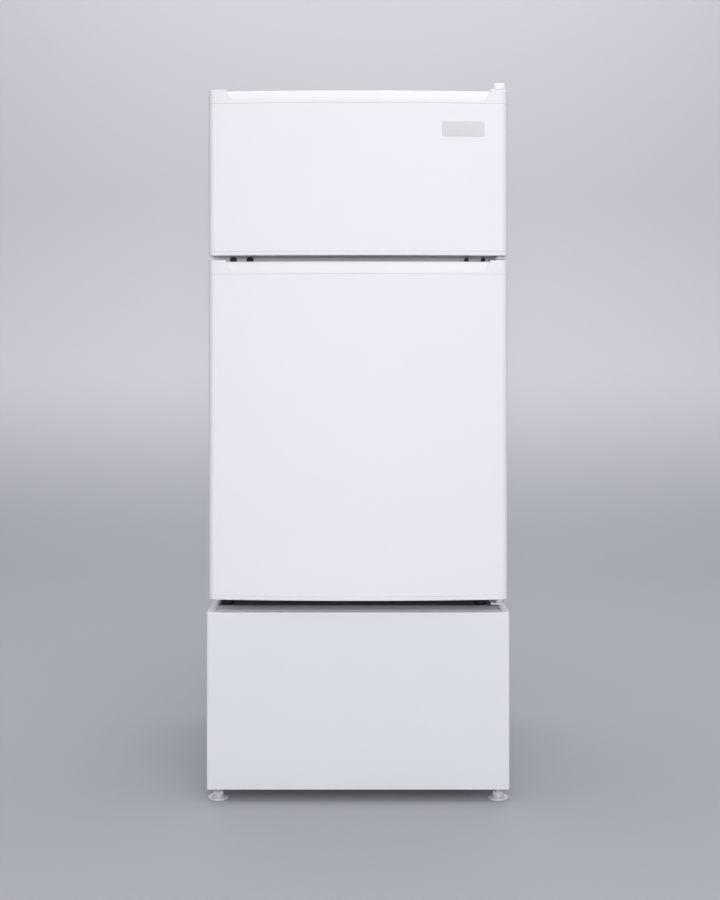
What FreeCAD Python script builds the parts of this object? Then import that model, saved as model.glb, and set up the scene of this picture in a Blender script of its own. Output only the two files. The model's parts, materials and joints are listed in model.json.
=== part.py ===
import FreeCAD, Part
import math
import os
import re

import Sketcher

# A two-door fridge freezer with right-hand hinges, standing on a folded steel pedestal.
# Millimetres, +Z up, X to the right and Y to the back. The origin is on the floor, under
# the middle of the whole.

V = FreeCAD.Vector
Turn = FreeCAD.Rotation

doc = FreeCAD.newDocument("FridgeFreezer")

# Driving sizes. Each one can be changed by itself.
SIZES = (
    # Pedestal and its levelling feet
    ("pedestal_side_margin", 6),
    ("pedestal_rear_margin", 10),
    ("pedestal_height", 291),
    ("pedestal_sheet", 1.2),
    ("pedestal_edge_radius", 3),
    ("pedestal_top_rim", 14),
    ("pedestal_floor_rim", 36),
    ("deck_gap", 2),
    ("deck_channel_width", 30),
    ("deck_channel_depth", 15),
    ("level_foot_height", 20),
    ("level_flange_radius", 17),
    ("level_flange_height", 4),
    ("level_neck_height", 7),
    ("level_hex_radius", 9.5),
    ("level_stud_radius", 4),
    ("level_stud_length", 34),
    ("level_side_inset", 17.5),
    ("level_front_inset", 20),
    ("foot_bracket_side", 32),
    ("foot_bracket_sheet", 3),
    ("foot_nut_radius", 8),
    ("foot_nut_height", 14),
    # Cabinet
    ("cabinet_width", 485),
    ("cabinet_height", 845),
    ("cabinet_depth", 434),
    ("cabinet_sheet", 1),
    ("cabinet_edge_radius", 5),
    ("cabinet_foot_height", 13),
    ("cabinet_foot_radius", 11),
    ("cabinet_foot_left_inset", 21.5),
    ("cabinet_foot_right_inset", 35.5),
    ("cabinet_foot_front_inset", 14),
    ("cabinet_foot_rear_inset", 30),
    ("wall_thickness", 33),
    ("base_height", 35),
    ("liner_sheet", 1.5),
    ("bay_depth", 145),
    ("bay_height", 176),
    ("rail_height", 40),
    ("rail_return", 18),
    ("rail_side_inset", 10),
    ("plug_head_radius", 6),
    ("plug_head_height", 1.2),
    ("plug_shank_radius", 3.8),
    ("plug_shank_length", 6),
    # Doors
    ("door_side_overhang", 3.5),
    ("door_thickness", 45),
    ("door_bow", 12),
    ("door_edge_radius", 12),
    ("door_sheet", 0.8),
    ("door_rise", 8),
    ("door_gap", 7.7),
    ("fridge_door_height", 556.2),
    ("freezer_door_height", 271.7),
    ("top_cap_height", 23),
    ("bottom_cap_height", 6.5),
    ("cap_wall", 2.5),
    ("grip_side_margin", 30),
    ("grip_end_slant", 8),
    ("grip_dip", 2.2),
    ("grip_slope_height", 12),
    ("grip_slope_run", 5),
    ("grip_lip", 3),
    ("grip_pocket_margin", 56),
    ("grip_pocket_depth", 28),
    ("door_liner_margin", 2),
    ("dyke_side_clearance", 6.5),
    ("dyke_thickness", 16),
    ("dyke_depth", 31),
    ("dyke_clearance", 4),
    ("seal_gap", 11),
    ("seal_side_margin", 21),
    ("seal_width", 12),
    ("seal_margin", 3),
    ("seal_magnet_width", 7),
    ("seal_foot_height", 4),
    ("seal_clearance", 0.4),
    # Plate at the badge place
    ("plate_width", 69),
    ("plate_height", 25),
    ("plate_thickness", 0.8),
    ("plate_side_inset", 39.5),
    ("plate_drop", 52),
    # Racks in the doors
    ("rack_depth", 85),
    ("rack_wall", 2),
    ("rack_side_gap", 0.5),
    ("rack_low_wall", 38),
    ("freezer_rack_height", 56),
    ("bottle_rack_height", 95),
    ("upper_rack_height", 60),
    ("upper_rack_rise", 262),
    # Hinges
    ("pin_side_inset", 12),
    ("pin_front_inset", 20),
    ("pin_radius", 4),
    ("pin_reach", 12),
    ("pin_end_gap", 1),
    ("pin_fit", 0.08),
    ("pin_boss_wall", 5),
    ("hinge_sheet", 2.5),
    ("hinge_half_width", 8),
    ("hinge_leaf_width", 23),
    ("top_leaf_length", 105),
    ("bottom_leaf_length", 85),
    ("middle_plate_height", 10.4),
    ("plate_screw_inset", 9),
    ("plate_end_margin", 12),
    ("bush_radius", 5.5),
    ("bush_clearance", 0.3),
    ("cover_height", 9.5),
    ("cover_width", 19.5),
    ("cover_wall", 1.5),
    ("cover_edge_radius", 1.8),
    ("screw_head_radius", 4),
    ("screw_head_height", 2.2),
    ("screw_shank_radius", 2.2),
    ("screw_fit", 0.1),
    ("screw_pitch", 28),
    # Shelves and the crisper
    ("shelf_thickness", 4),
    ("shelf_side_gap", 1.5),
    ("shelf_front_inset", 82),
    ("shelf_back_gap", 7),
    ("ledge_height", 6),
    ("ledge_width", 6.5),
    ("ledge_front_inset", 90),
    ("ledge_back_gap", 20),
    ("lower_shelf_rise", 110),
    ("upper_shelf_rise", 215),
    ("freezer_shelf_rise", 112),
    ("crisper_side_gap", 29.5),
    ("crisper_front_inset", 94),
    ("crisper_back_gap", 8),
    ("crisper_height", 142),
    ("crisper_wall", 2.5),
    ("crisper_handle", 12),
    ("crisper_clearance", 0.3),
    ("slot_width", 8),
    ("slot_length", 120),
    ("slot_pitch", 16),
    ("slot_edge", 20),
    # Console with the thermostat, the lamp and the door switch
    ("console_side_gap", 9.5),
    ("console_width", 90),
    ("console_height", 46),
    ("console_front_inset", 36),
    ("console_depth", 210),
    ("console_wall", 2),
    ("knob_radius", 13.5),
    ("knob_height", 11),
    ("knob_side_inset", 28),
    ("knob_drop", 27),
    ("knob_shaft_radius", 3),
    ("knob_shaft_length", 10),
    ("knob_ridge", 3),
    ("turning_fit", 0.06),
    ("switch_radius", 3.5),
    ("switch_side_inset", 18),
    ("switch_drop", 12),
    ("switch_length", 42),
    ("switch_nose", 1.4),
    ("touch_gap", 0.3),
    ("lens_bulge", 8),
    ("lens_length", 90),
    ("lens_front_inset", 55),
    ("lens_frame", 6),
    ("lens_margin", 3),
    ("bulb_radius", 11),
    ("bulb_length", 52),
    ("bulb_cap_radius", 7),
    ("bulb_cap_length", 20),
    ("bulb_socket_radius", 9.1),
    ("bulb_side_inset", 24),
    # Cooling
    ("compressor_radius", 60),
    ("compressor_height", 118),
    ("compressor_side_offset", -40),
    ("compressor_back_inset", 72),
    ("compressor_dome", 26),
    ("compressor_bottom_radius", 36),
    ("compressor_top_radius", 26),
    ("compressor_seam", 2.5),
    ("compressor_seam_height", 5),
    ("compressor_plate_width", 176),
    ("compressor_plate_depth", 96),
    ("compressor_plate_sheet", 3),
    ("grommet_radius", 11),
    ("grommet_height", 14),
    ("grommet_hole", 4),
    ("grommet_inset", 14),
    ("relay_width", 34),
    ("relay_depth", 56),
    ("relay_height", 62),
    ("relay_rise", 34),
    ("relay_wall", 2),
    ("relay_edge_radius", 4),
    ("pan_width", 150),
    ("pan_depth", 96),
    ("pan_height", 22),
    ("pan_wall", 1.5),
    ("tube_radius", 2.5),
    ("condenser_standoff", 22),
    ("condenser_side_inset", 42.5),
    ("condenser_low_gap", 50),
    ("condenser_high_gap", 60),
    ("condenser_wire_radius", 0.75),
    ("condenser_wire_pitch", 15),
    ("condenser_wire_overhang", 8),
    ("tube_plane_gap", 12),
    ("spacer_width", 16),
    ("spacer_sheet", 3),
    ("spacer_inset", 22),
    ("drier_radius", 9),
    ("drier_length", 90),
    ("drier_neck", 12),
    ("drier_inlet_radius", 3.5),
    ("capillary_radius", 1),
    ("capillary_drop", 18),
    ("capillary_run", 56),
    ("pipe_radius", 3),
    ("pipe_bend", 14),
    ("pipe_run", 42),
    ("evaporator_side_gap", 19.5),
    ("evaporator_margin", 14),
    ("evaporator_sheet", 1.6),
    ("evaporator_channel_radius", 3.5),
    ("evaporator_back_gap", 8),
    ("evaporator_boss_radius", 6),
    ("gland_radius", 8),
    ("gland_flange", 3.5),
    ("gland_flange_height", 2.5),
    ("gland_bore", 4),
    ("gland_tab_width", 40),
    ("gland_tab_height", 44),
    ("gland_tab_sheet", 2),
    ("gland_side_inset", 52.5),
    # One overrun for all cuts
    ("overrun", 4),
)

# Places and fits that follow from the driving sizes
PLACES = (
    ("whole_depth", "door_bow + door_thickness + seal_gap + cabinet_depth + condenser_standoff"),
    ("door_front", "-whole_depth / 2 + door_bow"),
    ("door_nose", "door_front - door_bow"),
    ("door_back", "door_front + door_thickness"),
    ("cabinet_half", "cabinet_width / 2"),
    ("door_half", "cabinet_half + door_side_overhang"),
    ("bow_radius", "(door_half * door_half + door_bow * door_bow) / (2 * door_bow)"),
    ("bow_centre", "door_nose + bow_radius"),
    ("cabinet_front", "door_back + seal_gap"),
    ("cabinet_back", "cabinet_front + cabinet_depth"),
    ("pedestal_half", "cabinet_half + pedestal_side_margin"),
    ("pedestal_front", "door_front"),
    ("pedestal_back", "cabinet_back + pedestal_rear_margin"),
    ("pedestal_bottom", "level_foot_height"),
    ("deck_top", "pedestal_bottom + pedestal_height"),
    ("cabinet_bottom", "deck_top + cabinet_foot_height"),
    ("cabinet_top", "cabinet_bottom + cabinet_height"),
    ("pan_floor", "cabinet_bottom + cabinet_sheet"),
    ("cavity_half", "cabinet_half - wall_thickness"),
    ("mouth_half", "cavity_half + liner_sheet"),
    ("cavity_back", "cabinet_back - wall_thickness"),
    ("liner_front", "cabinet_front + cabinet_sheet"),
    ("fridge_door_bottom", "cabinet_bottom + door_rise"),
    ("fridge_door_top", "fridge_door_bottom + fridge_door_height"),
    ("freezer_door_bottom", "fridge_door_top + door_gap"),
    ("freezer_door_top", "freezer_door_bottom + freezer_door_height"),
    ("rail_middle", "fridge_door_top + door_gap / 2"),
    ("rail_bottom", "rail_middle - rail_height / 2"),
    ("rail_top", "rail_middle + rail_height / 2"),
    ("rail_half", "cabinet_half - rail_side_inset"),
    ("fridge_floor", "cabinet_bottom + base_height"),
    ("freezer_ceiling", "cabinet_top - wall_thickness"),
    ("bay_front", "cabinet_back - bay_depth"),
    ("bay_top", "cabinet_bottom + bay_height"),
    ("step_front", "bay_front - wall_thickness"),
    ("step_top", "bay_top + wall_thickness"),
    ("pin_side", "door_half - pin_side_inset"),
    ("pin_front", "door_front + pin_front_inset"),
    ("bore_radius", "pin_radius + pin_fit"),
    ("leaf_bottom", "rail_middle - hinge_sheet / 2"),
    ("leaf_top", "rail_middle + hinge_sheet / 2"),
    ("leaf_outside", "pin_side + hinge_half_width"),
    ("leaf_inside", "leaf_outside - hinge_leaf_width"),
    ("leaf_front", "pin_front - hinge_half_width"),
    ("plug_far_offset", "leaf_inside - plate_screw_inset"),
    ("plug_near_offset", "plug_far_offset - screw_pitch"),
    ("middle_plate_start", "plug_near_offset - plate_end_margin"),
    ("grip_half_width", "door_half - grip_side_margin"),
    ("grip_pocket_half_width", "door_half - grip_pocket_margin"),
    ("dyke_half_width", "cavity_half - dyke_side_clearance"),
    ("seal_half_width", "door_half - seal_side_margin"),
    ("level_back_inset", "level_front_inset"),
    ("crisper_half_width", "cavity_half - crisper_side_gap"),
    ("console_right", "cavity_half - console_side_gap"),
    ("console_left", "console_right - console_width"),
    ("console_front", "cabinet_front + console_front_inset"),
    ("console_back", "console_front + console_depth"),
    ("console_bottom", "rail_bottom - console_height"),
    ("dyke_back", "door_back + dyke_depth"),
    ("tube_plane", "cabinet_back + tube_plane_gap"),
    ("whole_back", "cabinet_back + condenser_standoff"),
    ("condenser_bottom", "bay_top + condenser_low_gap"),
    ("condenser_top", "cabinet_top - condenser_high_gap"),
    ("compressor_side", "compressor_side_offset"),
    ("compressor_middle", "cabinet_back - compressor_back_inset"),
    ("compressor_floor", "pan_floor + grommet_height"),
    ("compressor_top", "compressor_floor + compressor_plate_sheet + compressor_height"),
    ("shelf_front", "cabinet_front + shelf_front_inset"),
    ("shelf_back", "cavity_back - shelf_back_gap"),
    ("shelf_half", "cavity_half - shelf_side_gap"),
    ("lower_shelf_seat", "step_top + lower_shelf_rise"),
    ("upper_shelf_seat", "step_top + upper_shelf_rise"),
    ("freezer_shelf_seat", "rail_top + freezer_shelf_rise"),
    ("evaporator_face", "cavity_back - evaporator_back_gap"),
    ("evaporator_half_width", "cavity_half - evaporator_side_gap"),
    ("condenser_half_width", "cabinet_half - condenser_side_inset"),
    ("gland_side_offset", "cabinet_half - gland_side_inset"),
    ("drier_side", "condenser_half_width"),
)


def sheet(name, rows, prefix):
    """A spreadsheet with one named cell a row."""
    made = doc.addObject("Spreadsheet::Sheet", name)
    for number, (alias, content) in enumerate(rows, 1):
        made.set(f"A{number}", alias)
        made.set(f"B{number}", prefix + formula(str(content)))
        made.setAlias(f"B{number}", alias)
    return made


def formula(text):
    """The text with the sheet's name put before each named size and place."""
    return re.sub(r"[a-z]\w*", lambda found: HOME.get(found[0], "") + found[0], text)


HOME = {alias: "Sizes." for alias, _ in SIZES}
HOME.update({alias: "Places." for alias, _ in PLACES})
S = sheet("Sizes", SIZES, "")
doc.recompute()
P = sheet("Places", PLACES, "=")
doc.recompute()

# How near two directions or places are that count as the same
SAME = 0.001
# How wide the far end of a tapered turned piece is, of its radius
TAPER_SHARE = 0.8

nodes = []


def node(thing):
    """Keeps an object as one sub-part, whose name is the name of its file."""
    nodes.append(thing)
    return thing


# Blocks, rods and booleans


def box(name, x, y, z):
    """A block between two planes along each axis, each plane a formula."""
    block = doc.addObject("Part::Box", name)
    for axis, side, (low, high) in zip("xyz", ("Length", "Width", "Height"), (x, y, z)):
        block.setExpression(f"Placement.Base.{axis}", formula(low))
        block.setExpression(side, formula(f"({high}) - ({low})"))
    return block


FACING = {
    "up": Turn(),
    "back": Turn(V(1, 0, 0), -90),
    "front": Turn(V(1, 0, 0), 90),
    "right": Turn(V(0, 1, 0), 90),
    "left": Turn(V(0, 1, 0), -90),
    "down": Turn(V(1, 0, 0), 180),
}


def put(thing, place, facing="up"):
    """Places an object, whose own axis is Z, at three formulas and facing a direction."""
    thing.Placement = FreeCAD.Placement(V(), FACING[facing])
    for axis, text in zip("xyz", place):
        thing.setExpression(f"Placement.Base.{axis}", formula(text))
    return thing


def rod(name, place, facing, radius, length):
    """A cylinder that starts at a place and runs along a direction."""
    made = doc.addObject("Part::Cylinder", name)
    made.setExpression("Radius", formula(radius))
    made.setExpression("Height", formula(length))
    return put(made, place, facing)


def fuse(name, *parts):
    """One solid, or one group of solids, from several."""
    made = doc.addObject("Part::MultiFuse", name)
    made.Shapes = list(parts)
    made.Refine = True
    return made


def cut(name, base, *tools):
    """A base less one or more tools."""
    made = doc.addObject("Part::Cut", name)
    made.Base = base
    made.Tool = tools[0] if len(tools) == 1 else fuse(name + "_tools", *tools)
    made.Refine = True
    return made


def common(name, first, second):
    """What two solids share."""
    made = doc.addObject("Part::Common", name)
    made.Base = first
    made.Tool = second
    return made


def rounded(name, base, radius, chosen):
    """A base with a radius on each edge that the test picks."""
    doc.recompute()
    made = doc.addObject("Part::Fillet", name)
    made.Base = base
    picked = [number for number, edge in enumerate(base.Shape.Edges, 1) if chosen(edge)]
    made.Edges = [(number, radius, radius) for number in picked]
    return made


def runs(edge, axis):
    """Whether an edge is straight and runs along an axis."""
    line = edge.Vertexes[-1].Point - edge.Vertexes[0].Point
    return line.Length > 0 and line.cross(axis).Length < SAME * line.Length


def upright_before(limit):
    """A test for the upright edges in front of a plane."""
    return lambda edge: runs(edge, V(0, 0, 1)) and edge.Vertexes[0].Y < limit


def along_top(edge):
    """Whether an edge runs front to back above the freezer compartment."""
    return runs(edge, V(0, 1, 0)) and edge.Vertexes[0].Z > P.freezer_ceiling


# Bodies with sketches

PLANE = {"up": "XY_Plane", "front": "XZ_Plane", "right": "YZ_Plane"}


def sketch(body, name, facing, level, loops, circles=()):
    """A closed sketch on a plane of the body, moved along the plane's own normal.

    The corners of a loop and the centres of the circles are formulas."""
    made = body.newObject("Sketcher::SketchObject", name)
    plane = next(f for f in body.Origin.OriginFeatures if f.Role == PLANE[facing])
    made.AttachmentSupport = [(plane, "")]
    made.MapMode = "FlatFace"
    if level != "0":
        made.setExpression("AttachmentOffset.Base.z", formula(level))
    for loop in loops:
        first = made.GeometryCount
        count = len(loop)
        for step in range(count):
            made.addGeometry(Part.LineSegment(rough_corner(step, count), rough_corner(step + 1, count)))
        for step, (across, along) in enumerate(loop):
            before = first + (step - 1) % count
            made.addConstraint(Sketcher.Constraint("Coincident", before, 2, first + step, 1))
            fix(made, first + step, 1, across, along)
    for across, along, radius in circles:
        geometry = made.addGeometry(Part.Circle(V(), V(0, 0, 1), S.overrun))
        fix(made, geometry, 3, across, along)
        last = made.addConstraint(Sketcher.Constraint("Radius", geometry, S.overrun))
        made.setExpression(f"Constraints[{last}]", formula(radius))
    return made


def rough_corner(step, count):
    """A corner of a rough round loop, which the constraints then pull into shape."""
    return Turn(V(0, 0, 1), 360 * step / count).multVec(V(S.cabinet_width, 0, 0))


def fix(made, geometry, point, across, along):
    """Holds a point of a sketch at two formulas, measured from the sketch's origin."""
    for kind, axis, text in (("DistanceX", -2, across), ("DistanceY", -1, along)):
        if text == "0":
            made.addConstraint(Sketcher.Constraint("PointOnObject", geometry, point, axis))
        else:
            last = made.addConstraint(Sketcher.Constraint(kind, -1, 1, geometry, point, S.overrun))
            made.setExpression(f"Constraints[{last}]", formula(text))


def body(name):
    """An empty body."""
    return doc.addObject("PartDesign::Body", name)


def pad(owner, name, facing, low, high, loops, circles=()):
    """Material between two planes. A front sketch grows towards -Y, so it starts at the back."""
    level = f"-({high})" if facing == "front" else low
    profile = sketch(owner, name + "_sketch", facing, level, loops, circles)
    made = owner.newObject("PartDesign::Pad", name)
    made.Profile = profile
    made.setExpression("Length", formula(f"({high}) - ({low})"))
    profile.Visibility = False
    return made


def turned(name, place, facing, points):
    """A body turned about its axis from points that are a radius and a height."""
    made = body(name)
    profile = sketch(made, name + "_sketch", "front", "0", [points])
    turn = made.newObject("PartDesign::Revolution", name + "_turn")
    turn.Profile = profile
    turn.ReferenceAxis = (profile, ["V_Axis"])
    turn.Angle = 360
    return put(made, place, facing)


def rectangle(x, y):
    """The four corners between two pairs of formulas."""
    return [(x[0], y[0]), (x[1], y[0]), (x[1], y[1]), (x[0], y[1])]


def both(text):
    """The pair of planes at minus and plus a formula."""
    return (f"-({text})", text)


def bent_path(corners, bend):
    """Straight runs through the corners, with a tangent arc of one radius at each turn."""
    edges = []
    start = corners[0]
    for before, corner, after in zip(corners, corners[1:], corners[2:]):
        inward = (before - corner).normalize()
        outward = (after - corner).normalize()
        half = inward.getAngle(outward) / 2
        first = corner + inward * (bend / math.tan(half))
        last = corner + outward * (bend / math.tan(half))
        middle = corner + (inward + outward).normalize() * (bend / math.sin(half) - bend)
        edges.append(Part.LineSegment(start, first).toShape())
        edges.append(Part.Arc(first, middle, last).toShape())
        start = last
    edges.append(Part.LineSegment(start, corners[-1]).toShape())
    return Part.Wire(edges)


def tube(corners, radius, bend):
    """A round tube along a bent path."""
    path = bent_path(corners, bend)
    along = (corners[1] - corners[0]).normalize()
    ring = Part.Wire([Part.Circle(corners[0], along, radius).toShape()])
    return path.makePipeShell([ring], True, False)


def shaped(name, shape):
    """An object that holds a shape made here."""
    made = doc.addObject("Part::Feature", name)
    made.Shape = shape
    return made


# Pedestal


def pedestal_shell():
    """Front and two sides folded from one sheet, with a rim round the top and the floor."""
    across = both("pedestal_half")
    inside = both("pedestal_half - pedestal_sheet")
    front = upright_before(P.pedestal_front + 2 * S.pedestal_sheet)
    block = box("shell_block", across, ("pedestal_front", "pedestal_back"),
                ("pedestal_bottom", "deck_top"))
    block = rounded("shell_outside", block, S.pedestal_edge_radius, front)
    hollow = box(
        "shell_hollow",
        inside,
        ("pedestal_front + pedestal_sheet", "pedestal_back + overrun"),
        ("pedestal_bottom + pedestal_sheet", "deck_top - pedestal_sheet"),
    )
    hollow = rounded("shell_inside", hollow, S.pedestal_edge_radius - S.pedestal_sheet, front)
    top_mouth = box(
        "shell_top_mouth",
        both("pedestal_half - pedestal_top_rim"),
        ("pedestal_front + pedestal_top_rim", "pedestal_back + overrun"),
        ("deck_top - pedestal_sheet - overrun", "deck_top + overrun"),
    )
    floor_mouth = box(
        "shell_floor_mouth",
        both("pedestal_half - pedestal_floor_rim"),
        ("pedestal_front + pedestal_floor_rim", "pedestal_back + overrun"),
        ("pedestal_bottom - overrun", "pedestal_bottom + pedestal_sheet + overrun"),
    )
    holes = [
        rod(f"shell_hole_{number}", (x, y, "pedestal_bottom - overrun"), "up",
            "level_stud_radius + pin_fit", "pedestal_sheet + 2 * overrun")
        for number, (x, y) in enumerate(LEVEL_PLACES.values())
    ]
    node(cut("pedestal_shell", block, hollow, top_mouth, floor_mouth, *holes))


def pedestal_deck():
    """A drop-in top, flush with the rim, whose lowered lip lies under the rim."""
    side = "pedestal_half - pedestal_top_rim - deck_gap"
    front = "pedestal_front + pedestal_top_rim + deck_gap"
    lip_level = ("deck_top - 2 * pedestal_sheet", "deck_top - pedestal_sheet")
    top = box("deck_plate", both(side), (front, "pedestal_back - pedestal_sheet"),
              ("deck_top - pedestal_sheet", "deck_top"))
    lip = box("deck_lip", both("pedestal_half - pedestal_sheet"),
              ("pedestal_front + pedestal_sheet", "pedestal_back - pedestal_sheet"), lip_level)
    lip = rounded("deck_lip_rounded", lip, S.pedestal_edge_radius - S.pedestal_sheet,
                  upright_before(P.pedestal_front + 2 * S.pedestal_sheet))
    window = box("deck_window", both(side + " - pedestal_sheet"),
                 (front + " + pedestal_sheet", "pedestal_back - 2 * pedestal_sheet"),
                 ("deck_top - 2 * pedestal_sheet - overrun", "deck_top - pedestal_sheet"))
    channels = []
    for number, place in enumerate(("cabinet_front + cabinet_foot_front_inset",
                                    "cabinet_back - cabinet_foot_rear_inset")):
        half = "deck_channel_width / 2"
        ends = both(side + " - 2 * pedestal_sheet")
        low = "deck_top - pedestal_sheet - deck_channel_depth"
        outer = box(f"channel_{number}_outer", ends, (f"{place} - {half}", f"{place} + {half}"),
                    (low, "deck_top - pedestal_sheet"))
        inner = box(f"channel_{number}_inner", both(side + " + overrun"),
                    (f"{place} - {half} + pedestal_sheet", f"{place} + {half} - pedestal_sheet"),
                    (low + " + pedestal_sheet", "deck_top - pedestal_sheet"))
        channels.append(cut(f"channel_{number}", outer, inner))
    node(fuse("pedestal_deck", top, cut("deck_rim", lip, window), *channels))


def pedestal_back_panel():
    """A flat sheet between the sides, from the floor rim to the deck's lip."""
    node(box("pedestal_back_panel", both("pedestal_half - pedestal_sheet"),
             ("pedestal_back - pedestal_sheet", "pedestal_back"),
             ("pedestal_bottom + pedestal_sheet", "deck_top - pedestal_sheet")))


LEVEL_PLACES = {
    f"{end}_{side}": (f"{sign}(pedestal_half - level_side_inset)", y)
    for end, y in (("front", "(pedestal_front + level_front_inset)"),
                   ("rear", "(pedestal_back - level_back_inset)"))
    for side, sign in (("left", "-"), ("right", ""))
}


def pedestal_feet():
    """Four levelling feet, and the plates with a nut in which their studs turn."""
    plates = []
    for name, (x, y) in LEVEL_PLACES.items():
        owner = body(f"foot_bracket_{name}")
        floor = "pedestal_bottom + pedestal_sheet"
        half = "foot_bracket_side / 2"
        bore = (x, y, "level_stud_radius + pin_fit")
        square = rectangle((f"{x} - {half}", f"{x} + {half}"), (f"{y} - {half}", f"{y} + {half}"))
        pad(owner, f"bracket_plate_{name}", "up", floor, floor + " + foot_bracket_sheet",
            [square], [bore])
        pad(owner, f"bracket_nut_{name}", "up", floor, floor + " + foot_nut_height", [],
            [(x, y, "foot_nut_radius"), bore])
        plates.append(owner)

        foot = turned(f"pedestal_foot_{name}", (x, y, "0"), "up", [
            ("0", "0"),
            ("level_flange_radius", "0"),
            ("level_flange_radius", "level_flange_height"),
            ("level_hex_radius * cos(30)", "level_neck_height"),
            ("level_stud_radius", "level_neck_height"),
            ("level_stud_radius", "level_foot_height + level_stud_length"),
            ("0", "level_foot_height + level_stud_length"),
        ])
        corners = [
            (f"level_hex_radius * cos({angle})",
             f"level_hex_radius * sin({angle})" if angle % 180 else "0")
            for angle in range(0, 360, 60)
        ]
        pad(foot, f"foot_hex_{name}", "up", "level_neck_height", "level_foot_height", [corners])
        node(foot)
    node(fuse("pedestal_foot_brackets", *plates))


# Cabinet


def cabinet_wrapper():
    """Sides and top folded from one sheet, with a front flange that the door seals meet."""
    block = box("wrapper_block", both("cabinet_half"), ("cabinet_front", "cabinet_back"),
                ("pan_floor", "cabinet_top"))
    block = rounded("wrapper_outside", block, S.cabinet_edge_radius, along_top)
    hollow = box("wrapper_hollow", both("cabinet_half - cabinet_sheet"),
                 ("liner_front", "cabinet_back + overrun"),
                 ("pan_floor - overrun", "cabinet_top - cabinet_sheet"))
    hollow = rounded("wrapper_inside", hollow, S.cabinet_edge_radius - S.cabinet_sheet, along_top)
    flange = ("cabinet_front - overrun", "liner_front + overrun")
    mouth = box("wrapper_mouth", both("mouth_half"), flange,
                ("pan_floor - overrun", "freezer_ceiling + liner_sheet"))
    notch = box("wrapper_notch", both("rail_half"), flange, ("rail_bottom", "rail_top"))
    holes = [rod(f"wrapper_hole_{number}", (x, y, "cabinet_top - overrun"), "up",
                 "screw_shank_radius + screw_fit", "2 * overrun")
             for number, (x, y) in enumerate(TOP_SCREWS)]
    node(cut("cabinet_wrapper", block, hollow, mouth, notch, *holes))


def cabinet_base_pan():
    """Floor, front rail, and the wall and ceiling of the open compressor bay."""
    across = both("cabinet_half - cabinet_sheet")
    floor = box("pan_plate", both("cabinet_half"), ("cabinet_front", "cabinet_back"),
                ("cabinet_bottom", "pan_floor"))
    rail = box("pan_rail", both("mouth_half"), ("cabinet_front", "liner_front"),
               ("cabinet_bottom", "fridge_floor"))
    wall = box("pan_bay_wall", across, ("bay_front - cabinet_sheet", "bay_front"),
               ("pan_floor", "bay_top"))
    ceiling = box("pan_bay_ceiling", across, ("bay_front - cabinet_sheet", "cabinet_back"),
                  ("bay_top", "bay_top + cabinet_sheet"))
    half = "gland_tab_width / 2"
    tab = box("pan_gland_tab", (f"gland_side_offset - {half}", f"gland_side_offset + {half}"),
              ("cabinet_back - gland_tab_sheet", "cabinet_back"),
              ("cabinet_bottom", "pan_floor + gland_tab_height"))
    hole = rod("pan_gland_hole", ("gland_side_offset", "cabinet_back - gland_tab_sheet - overrun",
                                  "pan_floor + gland_tab_height / 2"), "back", "gland_radius",
               "gland_tab_sheet + 2 * overrun")
    holes = [rod(f"pan_hole_{number}", (x, y, "cabinet_bottom - overrun"), "up",
                 "screw_shank_radius + screw_fit", "2 * overrun")
             for number, (x, y) in enumerate(BOTTOM_SCREWS)]
    node(cut("cabinet_base_pan", fuse("pan_sheets", floor, rail, wall, ceiling, tab), hole, *holes))


def cabinet_back_panel():
    """A flat sheet that closes the foam above the compressor bay."""
    sheet = box("back_sheet", both("cabinet_half - cabinet_sheet"),
                ("cabinet_back - cabinet_sheet", "cabinet_back"),
                ("bay_top + cabinet_sheet", "cabinet_top - cabinet_sheet"))
    node(rounded("cabinet_back_panel", sheet, S.cabinet_edge_radius - S.cabinet_sheet, along_top))


RAIL_HOLES = ("plug_near_offset", "plug_far_offset")


def crossrail():
    """The rail between the two doors, a channel that opens to the back."""
    face = box("rail_face", both("rail_half"), ("cabinet_front", "liner_front"),
               ("rail_bottom", "rail_top"))
    outer = box("rail_channel", both("mouth_half"), ("cabinet_front", "cabinet_front + rail_return"),
                ("rail_bottom + liner_sheet", "rail_top - liner_sheet"))
    inner = box("rail_inside", both("mouth_half + overrun"),
                ("liner_front", "cabinet_front + rail_return + overrun"),
                ("rail_bottom + liner_sheet + cabinet_sheet", "rail_top - liner_sheet - cabinet_sheet"))
    holes = []
    for side, sign, radius in (("left", "-", "plug_shank_radius"),
                               ("right", "", "screw_shank_radius + screw_fit")):
        for number, offset in enumerate(RAIL_HOLES):
            place = (f"{sign}{offset}", "cabinet_front - overrun", "rail_middle")
            holes.append(rod(f"rail_hole_{side}_{number}", place, "back", radius, "2 * overrun"))
    rail = fuse("rail_sheets", face, cut("rail_returns", outer, inner))
    node(cut("crossrail", rail, *holes))


def hole_plugs():
    """Two dark plugs in the holes that the middle hinge would use on the other side."""
    plugs = [
        turned(f"plug_{number}", (f"-{offset}", "cabinet_front", "rail_middle"), "front", [
            ("0", "-plug_shank_length"),
            ("plug_shank_radius", "-plug_shank_length"),
            ("plug_shank_radius", "0"),
            ("plug_head_radius", "0"),
            ("plug_head_radius", "plug_head_height / 2"),
            ("plug_head_radius - plug_head_height", "plug_head_height"),
            ("0", "plug_head_height"),
        ])
        for number, offset in enumerate(RAIL_HOLES)
    ]
    node(fuse("hinge_hole_plugs", *plugs))


def cavity(name, grown, floor, ceiling, back="cavity_back", front="liner_front"):
    """A block the size of a compartment, larger by a formula on each closed side."""
    return box(name, both(f"cavity_half + {grown}"), (front, f"{back} + {grown}"),
               (f"{floor} - {grown}", f"{ceiling} + {grown}"))


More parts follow.
